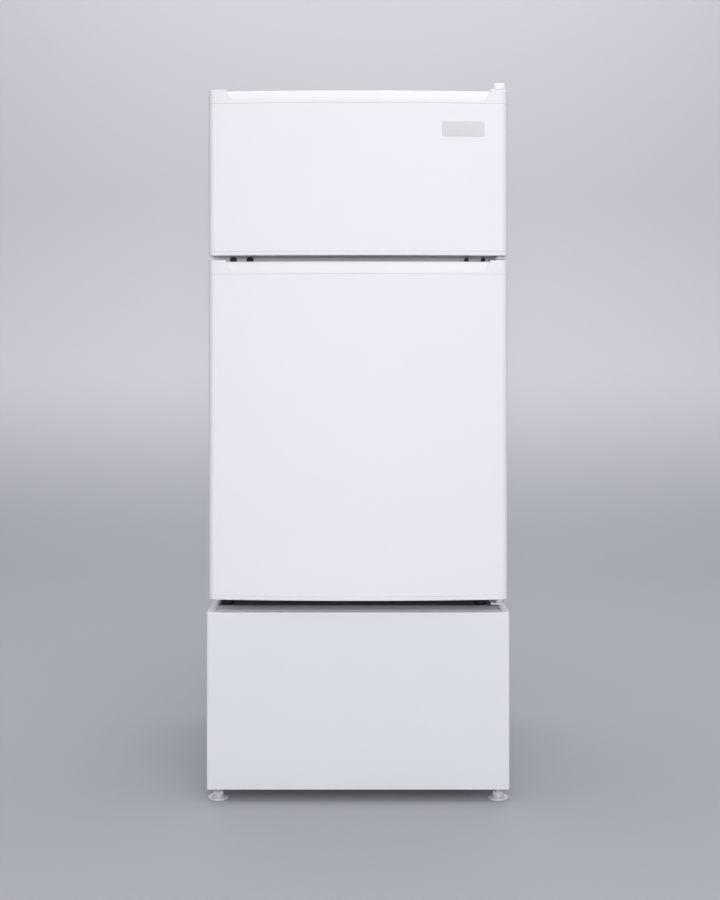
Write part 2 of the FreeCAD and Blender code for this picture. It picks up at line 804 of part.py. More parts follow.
def ledges(name, seats):
    """Rails on both side walls that carry the shelves, each from its height and rear end."""
    made = []
    for number, (seat, back) in enumerate(seats):
        for side, x in (("left", ("-cavity_half", "-cavity_half + ledge_width")),
                        ("right", ("cavity_half - ledge_width", "cavity_half"))):
            made.append(box(f"{name}_{number}_{side}", x,
                            ("cabinet_front + ledge_front_inset", back),
                            (f"{seat} - ledge_height", seat)))
    return made


def liners_and_foam():
    """The two moulded compartments and the foam that fills the walls round them."""
    far = "cavity_back - ledge_back_gap"
    freezer = cavity("freezer_outside", "liner_sheet", "rail_top", "freezer_ceiling")
    mouth = "liner_front - overrun"
    freezer_room = cavity("freezer_room", "0", "rail_top", "freezer_ceiling", front=mouth)
    shell = cut("freezer_tub", freezer, freezer_room)
    node(fuse("freezer_liner", shell, *ledges("freezer_ledge", [("freezer_shelf_seat", far)])))

    low = cavity("fridge_low_outside", "liner_sheet", "fridge_floor", "rail_bottom", "step_front")
    high = cavity("fridge_high_outside", "liner_sheet", "step_top", "rail_bottom")
    low_room = cavity("fridge_low_room", "0", "fridge_floor", "rail_bottom", "step_front", mouth)
    high_room = cavity("fridge_high_room", "0", "step_top", "rail_bottom", front=mouth)
    outside = fuse("fridge_outside", low, high)
    shell = cut("fridge_tub", outside, low_room, high_room)
    seats = [("step_top", "step_front"), ("lower_shelf_seat", far), ("upper_shelf_seat", far)]
    node(fuse("fridge_liner", shell, *ledges("fridge_ledge", seats)))

    block = box("foam_block", both("cabinet_half - cabinet_sheet"),
                ("liner_front", "cabinet_back - cabinet_sheet"),
                ("pan_floor", "cabinet_top - cabinet_sheet"))
    block = rounded("foam_rounded", block, S.cabinet_edge_radius - S.cabinet_sheet, along_top)
    bay = box("foam_bay", both("cabinet_half"), ("bay_front - cabinet_sheet", "cabinet_back"),
              ("pan_floor", "bay_top + cabinet_sheet"))
    behind_rail = box("foam_rail_space", both("rail_half"),
                      ("liner_front", "cabinet_front + rail_return"), ("rail_bottom", "rail_top"))
    node(cut("insulation_foam", block, freezer, outside, bay, behind_rail))


def cabinet_feet():
    """Four short dark feet between the cabinet and the deck."""
    columns = ("-cabinet_half + cabinet_foot_left_inset", "cabinet_half - cabinet_foot_right_inset")
    rows = ("cabinet_front + cabinet_foot_front_inset", "cabinet_back - cabinet_foot_rear_inset")
    feet = [
        turned(f"cabinet_foot_{row}_{column}", (x, y, "deck_top"), "up", [
            ("0", "0"),
            ("cabinet_foot_radius", "0"),
            ("cabinet_foot_radius", "cabinet_foot_height / 2"),
            (f"cabinet_foot_radius * {TAPER_SHARE}", "cabinet_foot_height"),
            ("0", "cabinet_foot_height"),
        ])
        for row, y in enumerate(rows)
        for column, x in enumerate(columns)
    ]
    node(fuse("cabinet_feet", *feet))


# Hinges

# How far back each screw is, of the screws' pitch
TOP_SCREW_SHARES = (0.5, 1.5)
BOTTOM_SCREW_SHARES = (0.4, 1.2)


def leaf_screws(shares):
    """The places across and along of the screws in a leaf that lies on the cabinet."""
    return [("pin_side - screw_head_radius", f"cabinet_front + screw_pitch * {share}")
            for share in shares]


TOP_SCREWS = leaf_screws(TOP_SCREW_SHARES)
BOTTOM_SCREWS = leaf_screws(BOTTOM_SCREW_SHARES)


def pin(owner, name, low, high):
    """A hinge pin as part of a bracket."""
    pad(owner, name, "up", low, high, [], [("pin_side", "pin_front", "pin_radius")])


def hinges():
    """Three brackets with their pins, the bushes on the pins, the screws and the top cover."""
    leaf = ("leaf_inside", "leaf_outside")
    reach = "pin_reach"
    screw_hole = "screw_shank_radius + screw_fit"

    top = body("top_hinge_bracket")
    plate = rectangle(leaf, ("leaf_front", "leaf_front + top_leaf_length"))
    pad(top, "top_leaf", "up", "cabinet_top", "cabinet_top + hinge_sheet", [plate],
        [(x, y, screw_hole) for x, y in TOP_SCREWS])
    pin(top, "top_pin", f"freezer_door_top - {reach}", "cabinet_top")
    node(top)

    bottom = body("bottom_hinge_bracket")
    plate = rectangle(leaf, ("leaf_front", "leaf_front + bottom_leaf_length"))
    pad(bottom, "bottom_leaf", "up", "cabinet_bottom - hinge_sheet", "cabinet_bottom", [plate],
        [(x, y, screw_hole) for x, y in BOTTOM_SCREWS])
    pin(bottom, "bottom_pin", "cabinet_bottom", f"fridge_door_bottom + {reach}")
    node(bottom)

    middle = body("middle_hinge_bracket")
    face = "cabinet_front - hinge_sheet"
    outline = [
        ("leaf_inside", face),
        ("leaf_inside + hinge_sheet", "leaf_front + hinge_half_width"),
        ("leaf_inside + hinge_half_width", "leaf_front"),
        ("leaf_outside", "leaf_front"),
        ("leaf_outside", "cabinet_front"),
        ("leaf_inside", "cabinet_front"),
    ]
    pad(middle, "middle_leaf", "up", "leaf_bottom", "leaf_top", [outline])
    strip = rectangle(("middle_plate_start", "leaf_outside"),
                      ("rail_middle - middle_plate_height / 2", "rail_middle + middle_plate_height / 2"))
    pad(middle, "middle_plate", "front", face, "cabinet_front", [strip],
        [(offset, "rail_middle", screw_hole) for offset in RAIL_HOLES])
    pin(middle, "middle_upper_pin", "leaf_top", f"freezer_door_bottom + {reach}")
    pin(middle, "middle_lower_pin", f"fridge_door_top - {reach}", "leaf_bottom")
    node(middle)

    bushes = []
    for name, low, high in (
        ("top", "freezer_door_top + bush_clearance", "cabinet_top"),
        ("middle_upper", "leaf_top", "freezer_door_bottom - bush_clearance"),
        ("middle_lower", "fridge_door_top + bush_clearance", "leaf_bottom"),
        ("bottom", "cabinet_bottom", "fridge_door_bottom - bush_clearance"),
    ):
        owner = body(f"bush_{name}")
        pad(owner, f"bush_ring_{name}", "up", low, high, [],
            [("pin_side", "pin_front", "bush_radius"), ("pin_side", "pin_front", "bore_radius")])
        bushes.append(owner)
    node(fuse("hinge_bushes", *bushes))

    screws = []
    places = [(x, y, "cabinet_top + hinge_sheet", "up") for x, y in TOP_SCREWS]
    places += [(x, y, "cabinet_bottom - hinge_sheet", "down") for x, y in BOTTOM_SCREWS]
    places += [(offset, face, "rail_middle", "front") for offset in RAIL_HOLES]
    for number, (x, y, z, facing) in enumerate(places):
        screws.append(turned(f"screw_{number}", (x, y, z), facing, [
            ("0", "-hinge_sheet - cabinet_sheet"),
            ("screw_shank_radius", "-hinge_sheet - cabinet_sheet"),
            ("screw_shank_radius", "0"),
            ("screw_head_radius", "0"),
            (f"screw_head_radius * {TAPER_SHARE}", "screw_head_height"),
            ("0", "screw_head_height"),
        ]))
    node(fuse("hinge_screws", *screws))

    seat = "cabinet_top + hinge_sheet"
    outside = box("cover_outside",
                  ("leaf_outside + cover_wall - cover_width", "leaf_outside + cover_wall"),
                  ("leaf_front - cover_wall", "leaf_front + top_leaf_length"),
                  (seat, f"{seat} + cover_height"))
    outside = rounded("cover_rounded", outside, S.cover_edge_radius,
                      lambda edge: max(v.Z for v in edge.Vertexes) > P.cabinet_top + S.cover_height)
    inside = box("cover_inside", ("leaf_outside + 2 * cover_wall - cover_width", "leaf_outside"),
                 ("leaf_front", "leaf_front + top_leaf_length - cover_wall"),
                 (f"{seat} - overrun", f"{seat} + cover_height - cover_wall"))
    node(cut("top_hinge_cover", outside, inside))


# Doors


def bowed(name, grown, back, low, high):
    """A block with a door's outline: bowed front, round upright front edges, flat back."""
    slab = box(name + "_slab", both(f"door_half + {grown}"), ("door_nose - overrun", back), (low, high))
    drum = rod(name + "_drum", ("0", "bow_centre", f"{low} - overrun"), "up", f"bow_radius + {grown}",
               f"({high}) - ({low}) + 2 * overrun")
    shape = common(name + "_bowed", slab, drum)
    inset = 0 if grown == "0" else S.door_sheet
    return rounded(name, shape, S.door_edge_radius - inset, upright_before(P.door_front + S.overrun))


def top_cap(kind, bottom, top):
    """The moulded cap with its sloped lip and the finger pocket behind it."""
    lip_top = f"{top} - grip_dip"
    slope_bottom = f"{top} - grip_dip - grip_slope_height"
    back = "door_back - liner_sheet"
    block = bowed(f"{kind}_cap_block", "0", back, f"{top} - top_cap_height", top)

    dip = box(f"{kind}_dip", both("grip_half_width"), ("door_nose - overrun", "door_back + overrun"),
              (lip_top, f"{top} + overrun"))
    owner = body(f"{kind}_slope_block")
    pad(owner, f"{kind}_slope_pad", "front", "door_nose - overrun", "door_front + grip_pocket_depth", [[
        ("-grip_half_width", f"{lip_top} + overrun"),
        ("-grip_half_width + grip_end_slant", slope_bottom),
        ("grip_half_width - grip_end_slant", slope_bottom),
        ("grip_half_width", f"{lip_top} + overrun"),
    ]])
    cone = doc.addObject("Part::Cone", f"{kind}_slope_cone")
    cone.setExpression("Radius1", formula("bow_radius"))
    narrow = "bow_radius - grip_slope_run * (1 + overrun / grip_slope_height)"
    cone.setExpression("Radius2", formula(narrow))
    cone.setExpression("Height", formula("grip_slope_height + overrun"))
    put(cone, ("0", "bow_centre", slope_bottom))
    slope = cut(f"{kind}_slope", owner, cone)

    pocket_low = f"{top} - top_cap_height + cap_wall"
    pocket_box = box(f"{kind}_pocket_box", both("grip_pocket_half_width"),
                     ("door_nose", "door_front + grip_pocket_depth"), (pocket_low, f"{top} + overrun"))
    pocket_drum = rod(f"{kind}_pocket_drum", ("0", "bow_centre", pocket_low), "up",
                      "bow_radius - grip_slope_run - grip_lip", "top_cap_height + overrun")
    pocket = common(f"{kind}_pocket", pocket_box, pocket_drum)

    bore = rod(f"{kind}_top_bore", ("pin_side", "pin_front", f"{top} - pin_reach - pin_end_gap"), "up",
               "bore_radius", "pin_reach + pin_end_gap + overrun")
    chamber = cap_chamber(kind, top, "chamber")
    node(cut(f"{kind}_door_top_cap", block, dip, slope, pocket, bore, chamber))


def cap_chamber(kind, top, name):
    """The space under the rear of a top cap, which the door's foam fills."""
    return box(f"{kind}_{name}", both("grip_pocket_half_width"),
               ("door_front + grip_pocket_depth + cap_wall", "door_back - liner_sheet - cap_wall"),
               (f"{top} - top_cap_height", f"{top} - grip_dip - cap_wall"))


def bottom_cap(kind, bottom):
    """The moulded strip along the bottom edge, with a boss for the hinge pin."""
    band = bowed(f"{kind}_band", "0", "door_back - liner_sheet", bottom, f"{bottom} + bottom_cap_height")
    boss = rod(f"{kind}_boss", ("pin_side", "pin_front", bottom), "up",
               "pin_side_inset - door_sheet - touch_gap", "pin_reach + pin_end_gap + pin_boss_wall")
    bore = rod(f"{kind}_bottom_bore", ("pin_side", "pin_front", f"{bottom} - overrun"), "up",
               "bore_radius", "pin_reach + pin_end_gap + overrun")
    node(cut(f"{kind}_door_bottom_cap", fuse(f"{kind}_band_and_boss", band, boss), bore))


def dyke(kind, name, floor, ceiling, grown, front, back):
    """The raised frame of a door liner as a ring, wider by a formula on every side."""
    outer = box(f"{kind}_{name}_outer", both(f"dyke_half_width + {grown}"), (front, back),
                (f"{floor} + dyke_clearance - {grown}", f"{ceiling} - dyke_clearance + {grown}"))
    inset = f"(dyke_thickness + {grown})"
    inner = box(f"{kind}_{name}_inner", both(f"dyke_half_width - {inset}"),
                (f"{front} - overrun", f"{back} + overrun"),
                (f"{floor} + dyke_clearance + {inset}", f"{ceiling} - dyke_clearance - {inset}"))
    return cut(f"{kind}_{name}", outer, inner)


def door(kind, bottom, top, floor, ceiling):
    """One door: skin, caps, foam, liner with its frame, and the seal."""
    back = "door_back - liner_sheet"
    skin_low = f"{bottom} + bottom_cap_height"
    skin_high = f"{top} - top_cap_height"
    outside = bowed(f"{kind}_skin_outside", "0", back, skin_low, skin_high)
    inside = bowed(f"{kind}_skin_inside", "(-door_sheet)", "door_back", skin_low, skin_high)
    node(cut(f"{kind}_door_skin", outside, inside))
    top_cap(kind, bottom, top)
    bottom_cap(kind, bottom)

    panel = box(f"{kind}_liner_panel", both("door_half - door_liner_margin"), (back, "door_back"),
                (f"{bottom} + door_liner_margin", f"{top} - grip_dip - door_liner_margin"))
    ring = dyke(kind, "frame", floor, ceiling, "0", back, "dyke_back")
    hollow = dyke(kind, "frame_hollow", floor, ceiling, "(-liner_sheet)", f"{back} - overrun",
                  "dyke_back - liner_sheet")
    node(cut(f"{kind}_door_liner", fuse(f"{kind}_liner_sheets", panel, ring), hollow))

    filling = bowed(f"{kind}_foam_block", "(-door_sheet)", back, skin_low, skin_high)
    boss_room = rod(f"{kind}_boss_room", ("pin_side", "pin_front", f"{bottom} - overrun"), "up",
                    "pin_side_inset - door_sheet - touch_gap / 2",
                    "pin_reach + pin_end_gap + pin_boss_wall + overrun")
    frame_foam = dyke(kind, "frame_foam", floor, ceiling, "(-liner_sheet)", back,
                      "dyke_back - liner_sheet")
    whole = fuse(f"{kind}_foam_blocks", filling, frame_foam, cap_chamber(kind, top, "chamber_foam"))
    node(cut(f"{kind}_door_foam", whole, boss_room))

    rings = []
    for name, width, ends in (
        ("foot", "seal_width", ("door_back", "door_back + seal_foot_height")),
        ("magnet", "seal_magnet_width",
         ("door_back + seal_foot_height", "cabinet_front - seal_clearance")),
    ):
        edge = f"(seal_width - {width}) / 2"
        low, high = f"{bottom} + seal_margin + {edge}", f"{top} - seal_margin - {edge}"
        side = f"seal_half_width - {edge}"
        outer = box(f"{kind}_seal_{name}_outer", both(side), ends, (low, high))
        inner = box(f"{kind}_seal_{name}_inner", both(f"{side} - {width}"),
                    (ends[0] + " - overrun", ends[1] + " + overrun"),
                    (f"{low} + {width}", f"{high} - {width}"))
        rings.append(cut(f"{kind}_seal_{name}", outer, inner))
    node(fuse(f"{kind}_door_gasket", *rings))


def rack(name, floor, height):
    """An open bin between the sides of a door's frame, with a low wall towards the shelves."""
    half = "dyke_half_width - dyke_thickness - rack_side_gap"
    back = "door_back + rack_depth"
    outside = box(f"{name}_outside", both(half), ("door_back", back), (floor, f"{floor} + {height}"))
    inside = box(f"{name}_inside", both(f"{half} - rack_wall"),
                 ("door_back + rack_wall", f"{back} - rack_wall"),
                 (f"{floor} + rack_wall", f"{floor} + {height} + overrun"))
    window = box(f"{name}_window", both(f"{half} - dyke_thickness"),
                 (f"{back} - 2 * rack_wall", f"{back} + overrun"),
                 (f"{floor} + rack_low_wall", f"{floor} + {height} + overrun"))
    node(cut(name, outside, inside, window))


def doors():
    """Both doors with their racks, and the blank plate on the upper one."""
    door("freezer", "freezer_door_bottom", "freezer_door_top", "rail_top", "freezer_ceiling")
    door("fridge", "fridge_door_bottom", "fridge_door_top", "fridge_floor", "rail_bottom")
    seat = "dyke_clearance + dyke_thickness + touch_gap"
    rack("freezer_door_rack", f"rail_top + {seat}", "freezer_rack_height")
    rack("fridge_door_bottle_rack", f"fridge_floor + {seat}", "bottle_rack_height")
    rack("fridge_door_upper_rack", f"fridge_floor + {seat} + upper_rack_rise", "upper_rack_height")

    right = "door_half - plate_side_inset"
    top = "freezer_door_top - plate_drop"
    block = box("plate_block", (f"{right} - plate_width", right), ("door_nose - overrun", "door_front"),
                (f"{top} - plate_height", top))
    low_middle = ("0", "bow_centre", f"{top} - plate_height")
    outer = rod("plate_outer", low_middle, "up", "bow_radius + plate_thickness", "plate_height")
    inner = rod("plate_inner", low_middle, "up", "bow_radius", "plate_height")
    node(cut("blank_nameplate", common("plate_bowed", block, outer), inner))


# Shelves and the crisper


def shelves():
    """Two glass shelves, the glass over the crisper, and the slotted freezer shelf."""
    across = both("shelf_half")
    deep = ("shelf_front", "shelf_back")
    for name, seat in (
        ("crisper_cover", "step_top"),
        ("fridge_shelf_lower", "lower_shelf_seat"),
        ("fridge_shelf_upper", "upper_shelf_seat"),
    ):
        owner = body(name)
        pad(owner, f"{name}_pane", "up", seat, f"{seat} + shelf_thickness", [rectangle(across, deep)])
        node(owner)

    shelf = body("freezer_shelf")
    freezer_back = "evaporator_face - evaporator_sheet - 2 * evaporator_channel_radius"
    upper_face = "freezer_shelf_seat + shelf_thickness"
    pad(shelf, "freezer_shelf_plate", "up", "freezer_shelf_seat", upper_face,
        [rectangle(across, ("shelf_front", freezer_back))])
    doc.recompute()
    slot = sketch(shelf, "freezer_slot_sketch", "up", upper_face, [
        rectangle(("-shelf_half + slot_edge", "-shelf_half + slot_edge + slot_width"),
                  ("shelf_front + slot_edge", "shelf_front + slot_edge + slot_length")),
    ])
    pocket = shelf.newObject("PartDesign::Pocket", "freezer_slot")
    pocket.Profile = slot
    pocket.setExpression("Length", formula("shelf_thickness + overrun"))
    doc.recompute()
    room = 2 * (P.shelf_half - S.slot_edge) - S.slot_width
    pattern = shelf.newObject("PartDesign::LinearPattern", "freezer_slots")
    pattern.Originals = [pocket]
    pattern.Direction = (slot, ["H_Axis"])
    pattern.Occurrences = int(room / S.slot_pitch) + 1
    pattern.Length = (pattern.Occurrences - 1) * S.slot_pitch
    shelf.Tip = pattern
    node(shelf)


def crisper():
    """The drawer at the bottom, open at the top, with a lip to pull it by."""
    front = "cabinet_front + crisper_front_inset"
    back = "step_front - crisper_back_gap"
    low = "fridge_floor + crisper_clearance"
    high = f"{low} + crisper_height"
    outside = box("crisper_outside", both("crisper_half_width"), (front, back), (low, high))
    inside = box("crisper_inside", both("crisper_half_width - crisper_wall"),
                 (f"{front} + crisper_wall", f"{back} - crisper_wall"),
                 (f"{low} + crisper_wall", f"{high} + overrun"))
    handle = box("crisper_lip", both("crisper_half_width / 2"), (f"{front} - crisper_handle", front),
                 (f"{high} - crisper_wall", high))
    turned_down = box("crisper_lip_edge", both("crisper_half_width / 2"),
                      (f"{front} - crisper_handle", f"{front} - crisper_handle + crisper_wall"),
                      (f"{high} - crisper_handle", high))
    node(fuse("crisper_drawer", cut("crisper_tub", outside, inside), handle, turned_down))


# Console in the fridge compartment


# The outline of the lamp's glass, of its radius and of its length
BULB_SHARES = ((1, 0.4), (1, 0.75), (0.6, 0.95))


def console():
    """The housing under the ceiling, its knob, the door switch, the lamp and its lens."""
    across = ("console_left", "console_right")
    deep = ("console_front", "console_back")
    tall = ("console_bottom", "rail_bottom")
    outside = box("console_outside", across, deep, tall)
    inside = box("console_inside", ("console_left + console_wall", "console_right - console_wall"),
                 ("console_front + console_wall", "console_back - console_wall"),
                 ("console_bottom + console_wall", "rail_bottom + overrun"))
    lens_y = ("console_front + lens_front_inset", "console_front + lens_front_inset + lens_length")
    lens_z = ("console_bottom + lens_frame", "rail_bottom - lens_frame")
    window = box("console_window",
                 ("console_left - overrun", "console_left + console_wall + overrun"), lens_y, lens_z)
    knob_place = ("console_right - knob_side_inset", "console_front", "rail_bottom - knob_drop")
    switch_place = ("console_left + switch_side_inset", "rail_bottom - switch_drop")
    shaft_hole = rod("console_knob_hole", knob_place, "back", "knob_shaft_radius + turning_fit",
                     "console_wall")
    switch_hole = rod("console_switch_hole", (switch_place[0], "console_front", switch_place[1]), "back",
                      "switch_radius + turning_fit", "console_wall")
    node(cut("thermostat_housing", outside, inside, window, shaft_hole, switch_hole))

    knob = turned("knob_round", knob_place, "front", [
        ("0", "-knob_shaft_length"),
        ("knob_shaft_radius", "-knob_shaft_length"),
        ("knob_shaft_radius", "touch_gap"),
        ("knob_radius", "touch_gap"),
        ("knob_radius", "knob_height - knob_ridge"),
        ("knob_radius - knob_ridge / 2", "knob_height - knob_ridge / 2"),
        ("0", "knob_height - knob_ridge / 2"),
    ])
    reach = "(knob_radius - knob_ridge)"
    ridge = box("knob_grip", (f"{knob_place[0]} - knob_ridge / 2", f"{knob_place[0]} + knob_ridge / 2"),
                ("console_front - knob_height", "console_front - knob_height + knob_ridge"),
                (f"{knob_place[2]} - {reach}", f"{knob_place[2]} + {reach}"))
    node(fuse("thermostat_knob", knob, ridge))

    tip = "dyke_back + touch_gap"
    node(turned("door_switch_plunger", (switch_place[0], tip, switch_place[1]), "back", [
        ("0", "0"),
        (f"switch_radius * {TAPER_SHARE}", "0"),
        ("switch_radius", "switch_nose"),
        ("switch_radius", "switch_length"),
        ("0", "switch_length"),
    ]))

    lens_outer = box("lens_outer", ("console_left - lens_bulge", "console_left"),
                     (f"{lens_y[0]} - lens_margin", f"{lens_y[1]} + lens_margin"),
                     (f"{lens_z[0]} - lens_margin", f"{lens_z[1]} + lens_margin"))
    lens_outer = rounded("lens_rounded", lens_outer, S.lens_bulge / 2,
                         lambda edge: max(v.X for v in edge.Vertexes) < P.console_left - S.lens_bulge / 2)
    lens_inner = box("lens_inner", ("console_left - lens_bulge + console_wall", "console_left + overrun"),
                     (f"{lens_y[0]} + console_wall", f"{lens_y[1]} - console_wall"),
                     (f"{lens_z[0]} + console_wall", f"{lens_z[1]} - console_wall"))
    node(cut("lamp_lens", lens_outer, lens_inner))

    bulb_back = f"{lens_y[1]} + bulb_cap_length"
    bulb_place = ("console_left + bulb_side_inset", bulb_back, "(console_bottom + rail_bottom) / 2")
    socket_end = f"{bulb_back} - (console_back - console_wall)"
    node(turned("lamp_bulb", bulb_place, "front", [
        ("0", socket_end),
        ("bulb_socket_radius", socket_end),
        ("bulb_socket_radius", "0"),
        ("bulb_cap_radius", "0"),
        ("bulb_cap_radius", "bulb_cap_length"),
        *[(f"bulb_radius * {across}", f"bulb_cap_length + bulb_length * {along}")
          for across, along in BULB_SHARES],
        ("0", "bulb_cap_length + bulb_length"),
    ]))


# Cooling


# The outline of the can's two ends, of its radius and of a dome's height
CAN_FOOT_SHARES = ((0.9, 0.3), (1, 1))
CAN_HEAD_SHARES = ((1, 1), (0.85, 0.4))
CAN_SEAM_SHARE = 0.55


def compressor():
    """The sealed can on its plate, four rubber mounts, the relay cover and the drip pan."""
    side, middle, floor = "compressor_side", "compressor_middle", "compressor_floor"
    foot = "compressor_plate_sheet"
    high = "compressor_plate_sheet + compressor_height"
    seam = f"({foot} + compressor_height * {CAN_SEAM_SHARE})"
    can = turned("compressor_can", (side, middle, floor), "up", [
        ("0", "0"),
        ("compressor_bottom_radius", "0"),
        *[(f"compressor_radius * {across}", f"{foot} + compressor_dome * {along}")
          for across, along in CAN_FOOT_SHARES],
        ("compressor_radius", seam),
        ("compressor_radius + compressor_seam", seam),
        ("compressor_radius + compressor_seam", f"{seam} + compressor_seam_height"),
        ("compressor_radius", f"{seam} + compressor_seam_height"),
        *[(f"compressor_radius * {across}", f"{high} - compressor_dome * {along}")
          for across, along in CAN_HEAD_SHARES],
        ("compressor_top_radius", high),
        ("0", high),
    ])
    plate = body("compressor_plate")
    wide = (f"{side} - compressor_plate_width / 2", f"{side} + compressor_plate_width / 2")
    deep = (f"{middle} - compressor_plate_depth / 2", f"{middle} + compressor_plate_depth / 2")
    mounts = [
        (f"{side} {right} (compressor_plate_width / 2 - grommet_inset)",
         f"{middle} {rear} (compressor_plate_depth / 2 - grommet_inset)")
        for right in "+-" for rear in "+-"
    ]
    pad(plate, "compressor_plate_sheet_metal", "up", floor, f"{floor} + {foot}", [rectangle(wide, deep)],
        [(x, y, "grommet_hole") for x, y in mounts])
    whole = node(fuse("compressor", can, plate))

    rubbers = [
        turned(f"grommet_{number}", (x, y, "pan_floor"), "up", [
            ("0", "0"),
            ("grommet_radius", "0"),
            (f"grommet_radius * {TAPER_SHARE}", "grommet_height"),
            ("grommet_hole", "grommet_height"),
            ("grommet_hole", f"grommet_height + {foot} + grommet_hole / 2"),
            ("0", f"grommet_height + {foot} + grommet_hole / 2"),
        ])
        for number, (x, y) in enumerate(mounts)
    ]
    node(fuse("compressor_grommets", *rubbers))

    near = f"{side} + compressor_radius"
    low = f"{floor} + relay_rise"
    block = box("relay_block", (side, f"{near} + relay_width"),
                (f"{middle} - relay_depth / 2", f"{middle} + relay_depth / 2"),
                (low, f"{low} + relay_height"))
    beyond = S.compressor_side_offset + S.compressor_radius
    block = rounded("relay_rounded", block, S.relay_edge_radius,
                    lambda edge: runs(edge, V(0, 0, 1)) and edge.Vertexes[0].X > beyond)
    room = box("relay_room", (side, f"{near} + relay_width - relay_wall"),
               (f"{middle} - relay_depth / 2 + relay_wall", f"{middle} + relay_depth / 2 - relay_wall"),
               (f"{low} + relay_wall", f"{low} + relay_height - relay_wall"))
    node(cut("compressor_relay_cover", block, room, can))

    wide = (f"{side} - pan_width / 2", f"{side} + pan_width / 2")
    deep = (f"{middle} - pan_depth / 2", f"{middle} + pan_depth / 2")
    tray = box("pan_outside", wide, deep, ("compressor_top", "compressor_top + pan_height"))
    inner = box("pan_inside", (wide[0] + " + pan_wall", wide[1] + " - pan_wall"),
                (deep[0] + " + pan_wall", deep[1] + " - pan_wall"),
                ("compressor_top + pan_wall", "compressor_top + pan_height + overrun"))
    node(cut("drip_pan", tray, inner))
    return whole


def snake(half, low, high, rows, plane):
    """The corners of a tube that runs side to side from the top down, in an upright plane."""
    step = (high - low) / (rows - 1)
    corners = []
    for row in range(rows):
        ends = (half, -half) if row % 2 else (-half, half)
        corners += [V(end, plane, high - row * step) for end in ends]
    return corners, step


CONDENSER_ROWS = 11
EVAPORATOR_ROWS = 6
BEND_SHARE = 0.46


def condenser():
    """The tube that snakes down the back, and the wires and wall spacers that hold it."""
    half = P.condenser_half_width
    corners, step = snake(half, P.condenser_bottom, P.condenser_top, CONDENSER_ROWS, P.tube_plane)
    riser = P.mouth_half + S.cabinet_edge_radius
    start = V(-riser - S.pipe_bend, P.tube_plane, P.bay_top - S.pipe_bend)
    knee = V(-riser - S.pipe_bend, P.tube_plane, P.condenser_top)
    end = V(half, P.tube_plane, P.bay_top)
    corners = [start, knee] + corners[1:-1] + [V(half, P.tube_plane, P.condenser_bottom), end]
    node(shaped("condenser_tube", tube(corners, S.tube_radius, step * BEND_SHARE)))

    wire = S.condenser_wire_radius
    low = P.condenser_bottom - S.condenser_wire_overhang
    length = P.condenser_top - low + S.condenser_wire_overhang
    reach = S.tube_radius + wire
    usable = half - S.spacer_inset / 2
    count = int(2 * usable / S.condenser_wire_pitch)
    wires = []
    for number in range(count + 1):
        x = (number - count / 2) * S.condenser_wire_pitch
        y = P.tube_plane + (reach if number % 2 else -reach)
        wires.append(Part.makeCylinder(wire, length, V(x, y, low)))
    near = P.cabinet_back
    for x in (S.spacer_inset - half, half - S.spacer_inset - S.spacer_width):
        for z in (low + S.spacer_inset / 2, P.condenser_top - step / 2):
            wires.append(Part.makeBox(S.spacer_width, P.whole_back - near, S.spacer_sheet, V(x, near, z)))
    group = wires[0].multiFuse(wires[1:])
    node(shaped("condenser_wires", group))


def drier_and_pipes(can):
    """The filter drier with its thin outlet, and the two pipes that leave the compressor's can."""
    drier = turned("drier_can", ("drier_side", "tube_plane", "bay_top"), "down", [
        ("0", "0"),
        ("drier_inlet_radius", "0"),
        ("drier_radius", "drier_neck"),
        ("drier_radius", "drier_length - drier_neck"),
        ("tube_radius", "drier_length"),
        ("0", "drier_length"),
    ])
    doc.recompute()
    radius = S.tube_radius
    bend = S.pipe_bend
    outlet_end = P.bay_top - S.drier_length
    inner = P.tube_plane - S.capillary_run
    thin = [
        V(P.drier_side, P.tube_plane, outlet_end),
        V(P.drier_side, P.tube_plane, outlet_end - S.capillary_drop),
        V(P.drier_side, inner, outlet_end - S.capillary_drop),
        V(P.drier_side, inner, P.bay_top),
    ]
    capillary = shaped("capillary", tube(thin, S.capillary_radius, bend))
    node(fuse("filter_drier", drier, capillary))
    riser = -(P.mouth_half + S.cabinet_edge_radius) - bend
    side = P.compressor_side
    shoulder = P.compressor_floor + S.compressor_plate_sheet + S.compressor_dome + bend
    edge = P.compressor_middle
    outlet = [
        V(side - S.compressor_radius / 2, edge, shoulder),
        V(side - S.compressor_radius - S.pipe_run, edge, shoulder),
        V(side - S.compressor_radius - S.pipe_run, P.tube_plane, shoulder),
        V(riser, P.tube_plane, shoulder),
        V(riser, P.tube_plane, P.bay_top - bend),
    ]
    node(shaped("discharge_pipe", tube(outlet, radius, bend).cut(can.Shape)))
    far = side + S.compressor_radius + S.relay_width + S.pipe_run
    low = shoulder - bend
    front = edge - S.relay_depth / 2 - bend
    inlet = [
        V(side, front, low),
        V(far, front, low),
        V(far, front, P.bay_top),
    ]
    node(shaped("suction_pipe", tube(inlet, S.pipe_radius, bend).cut(can.Shape)))


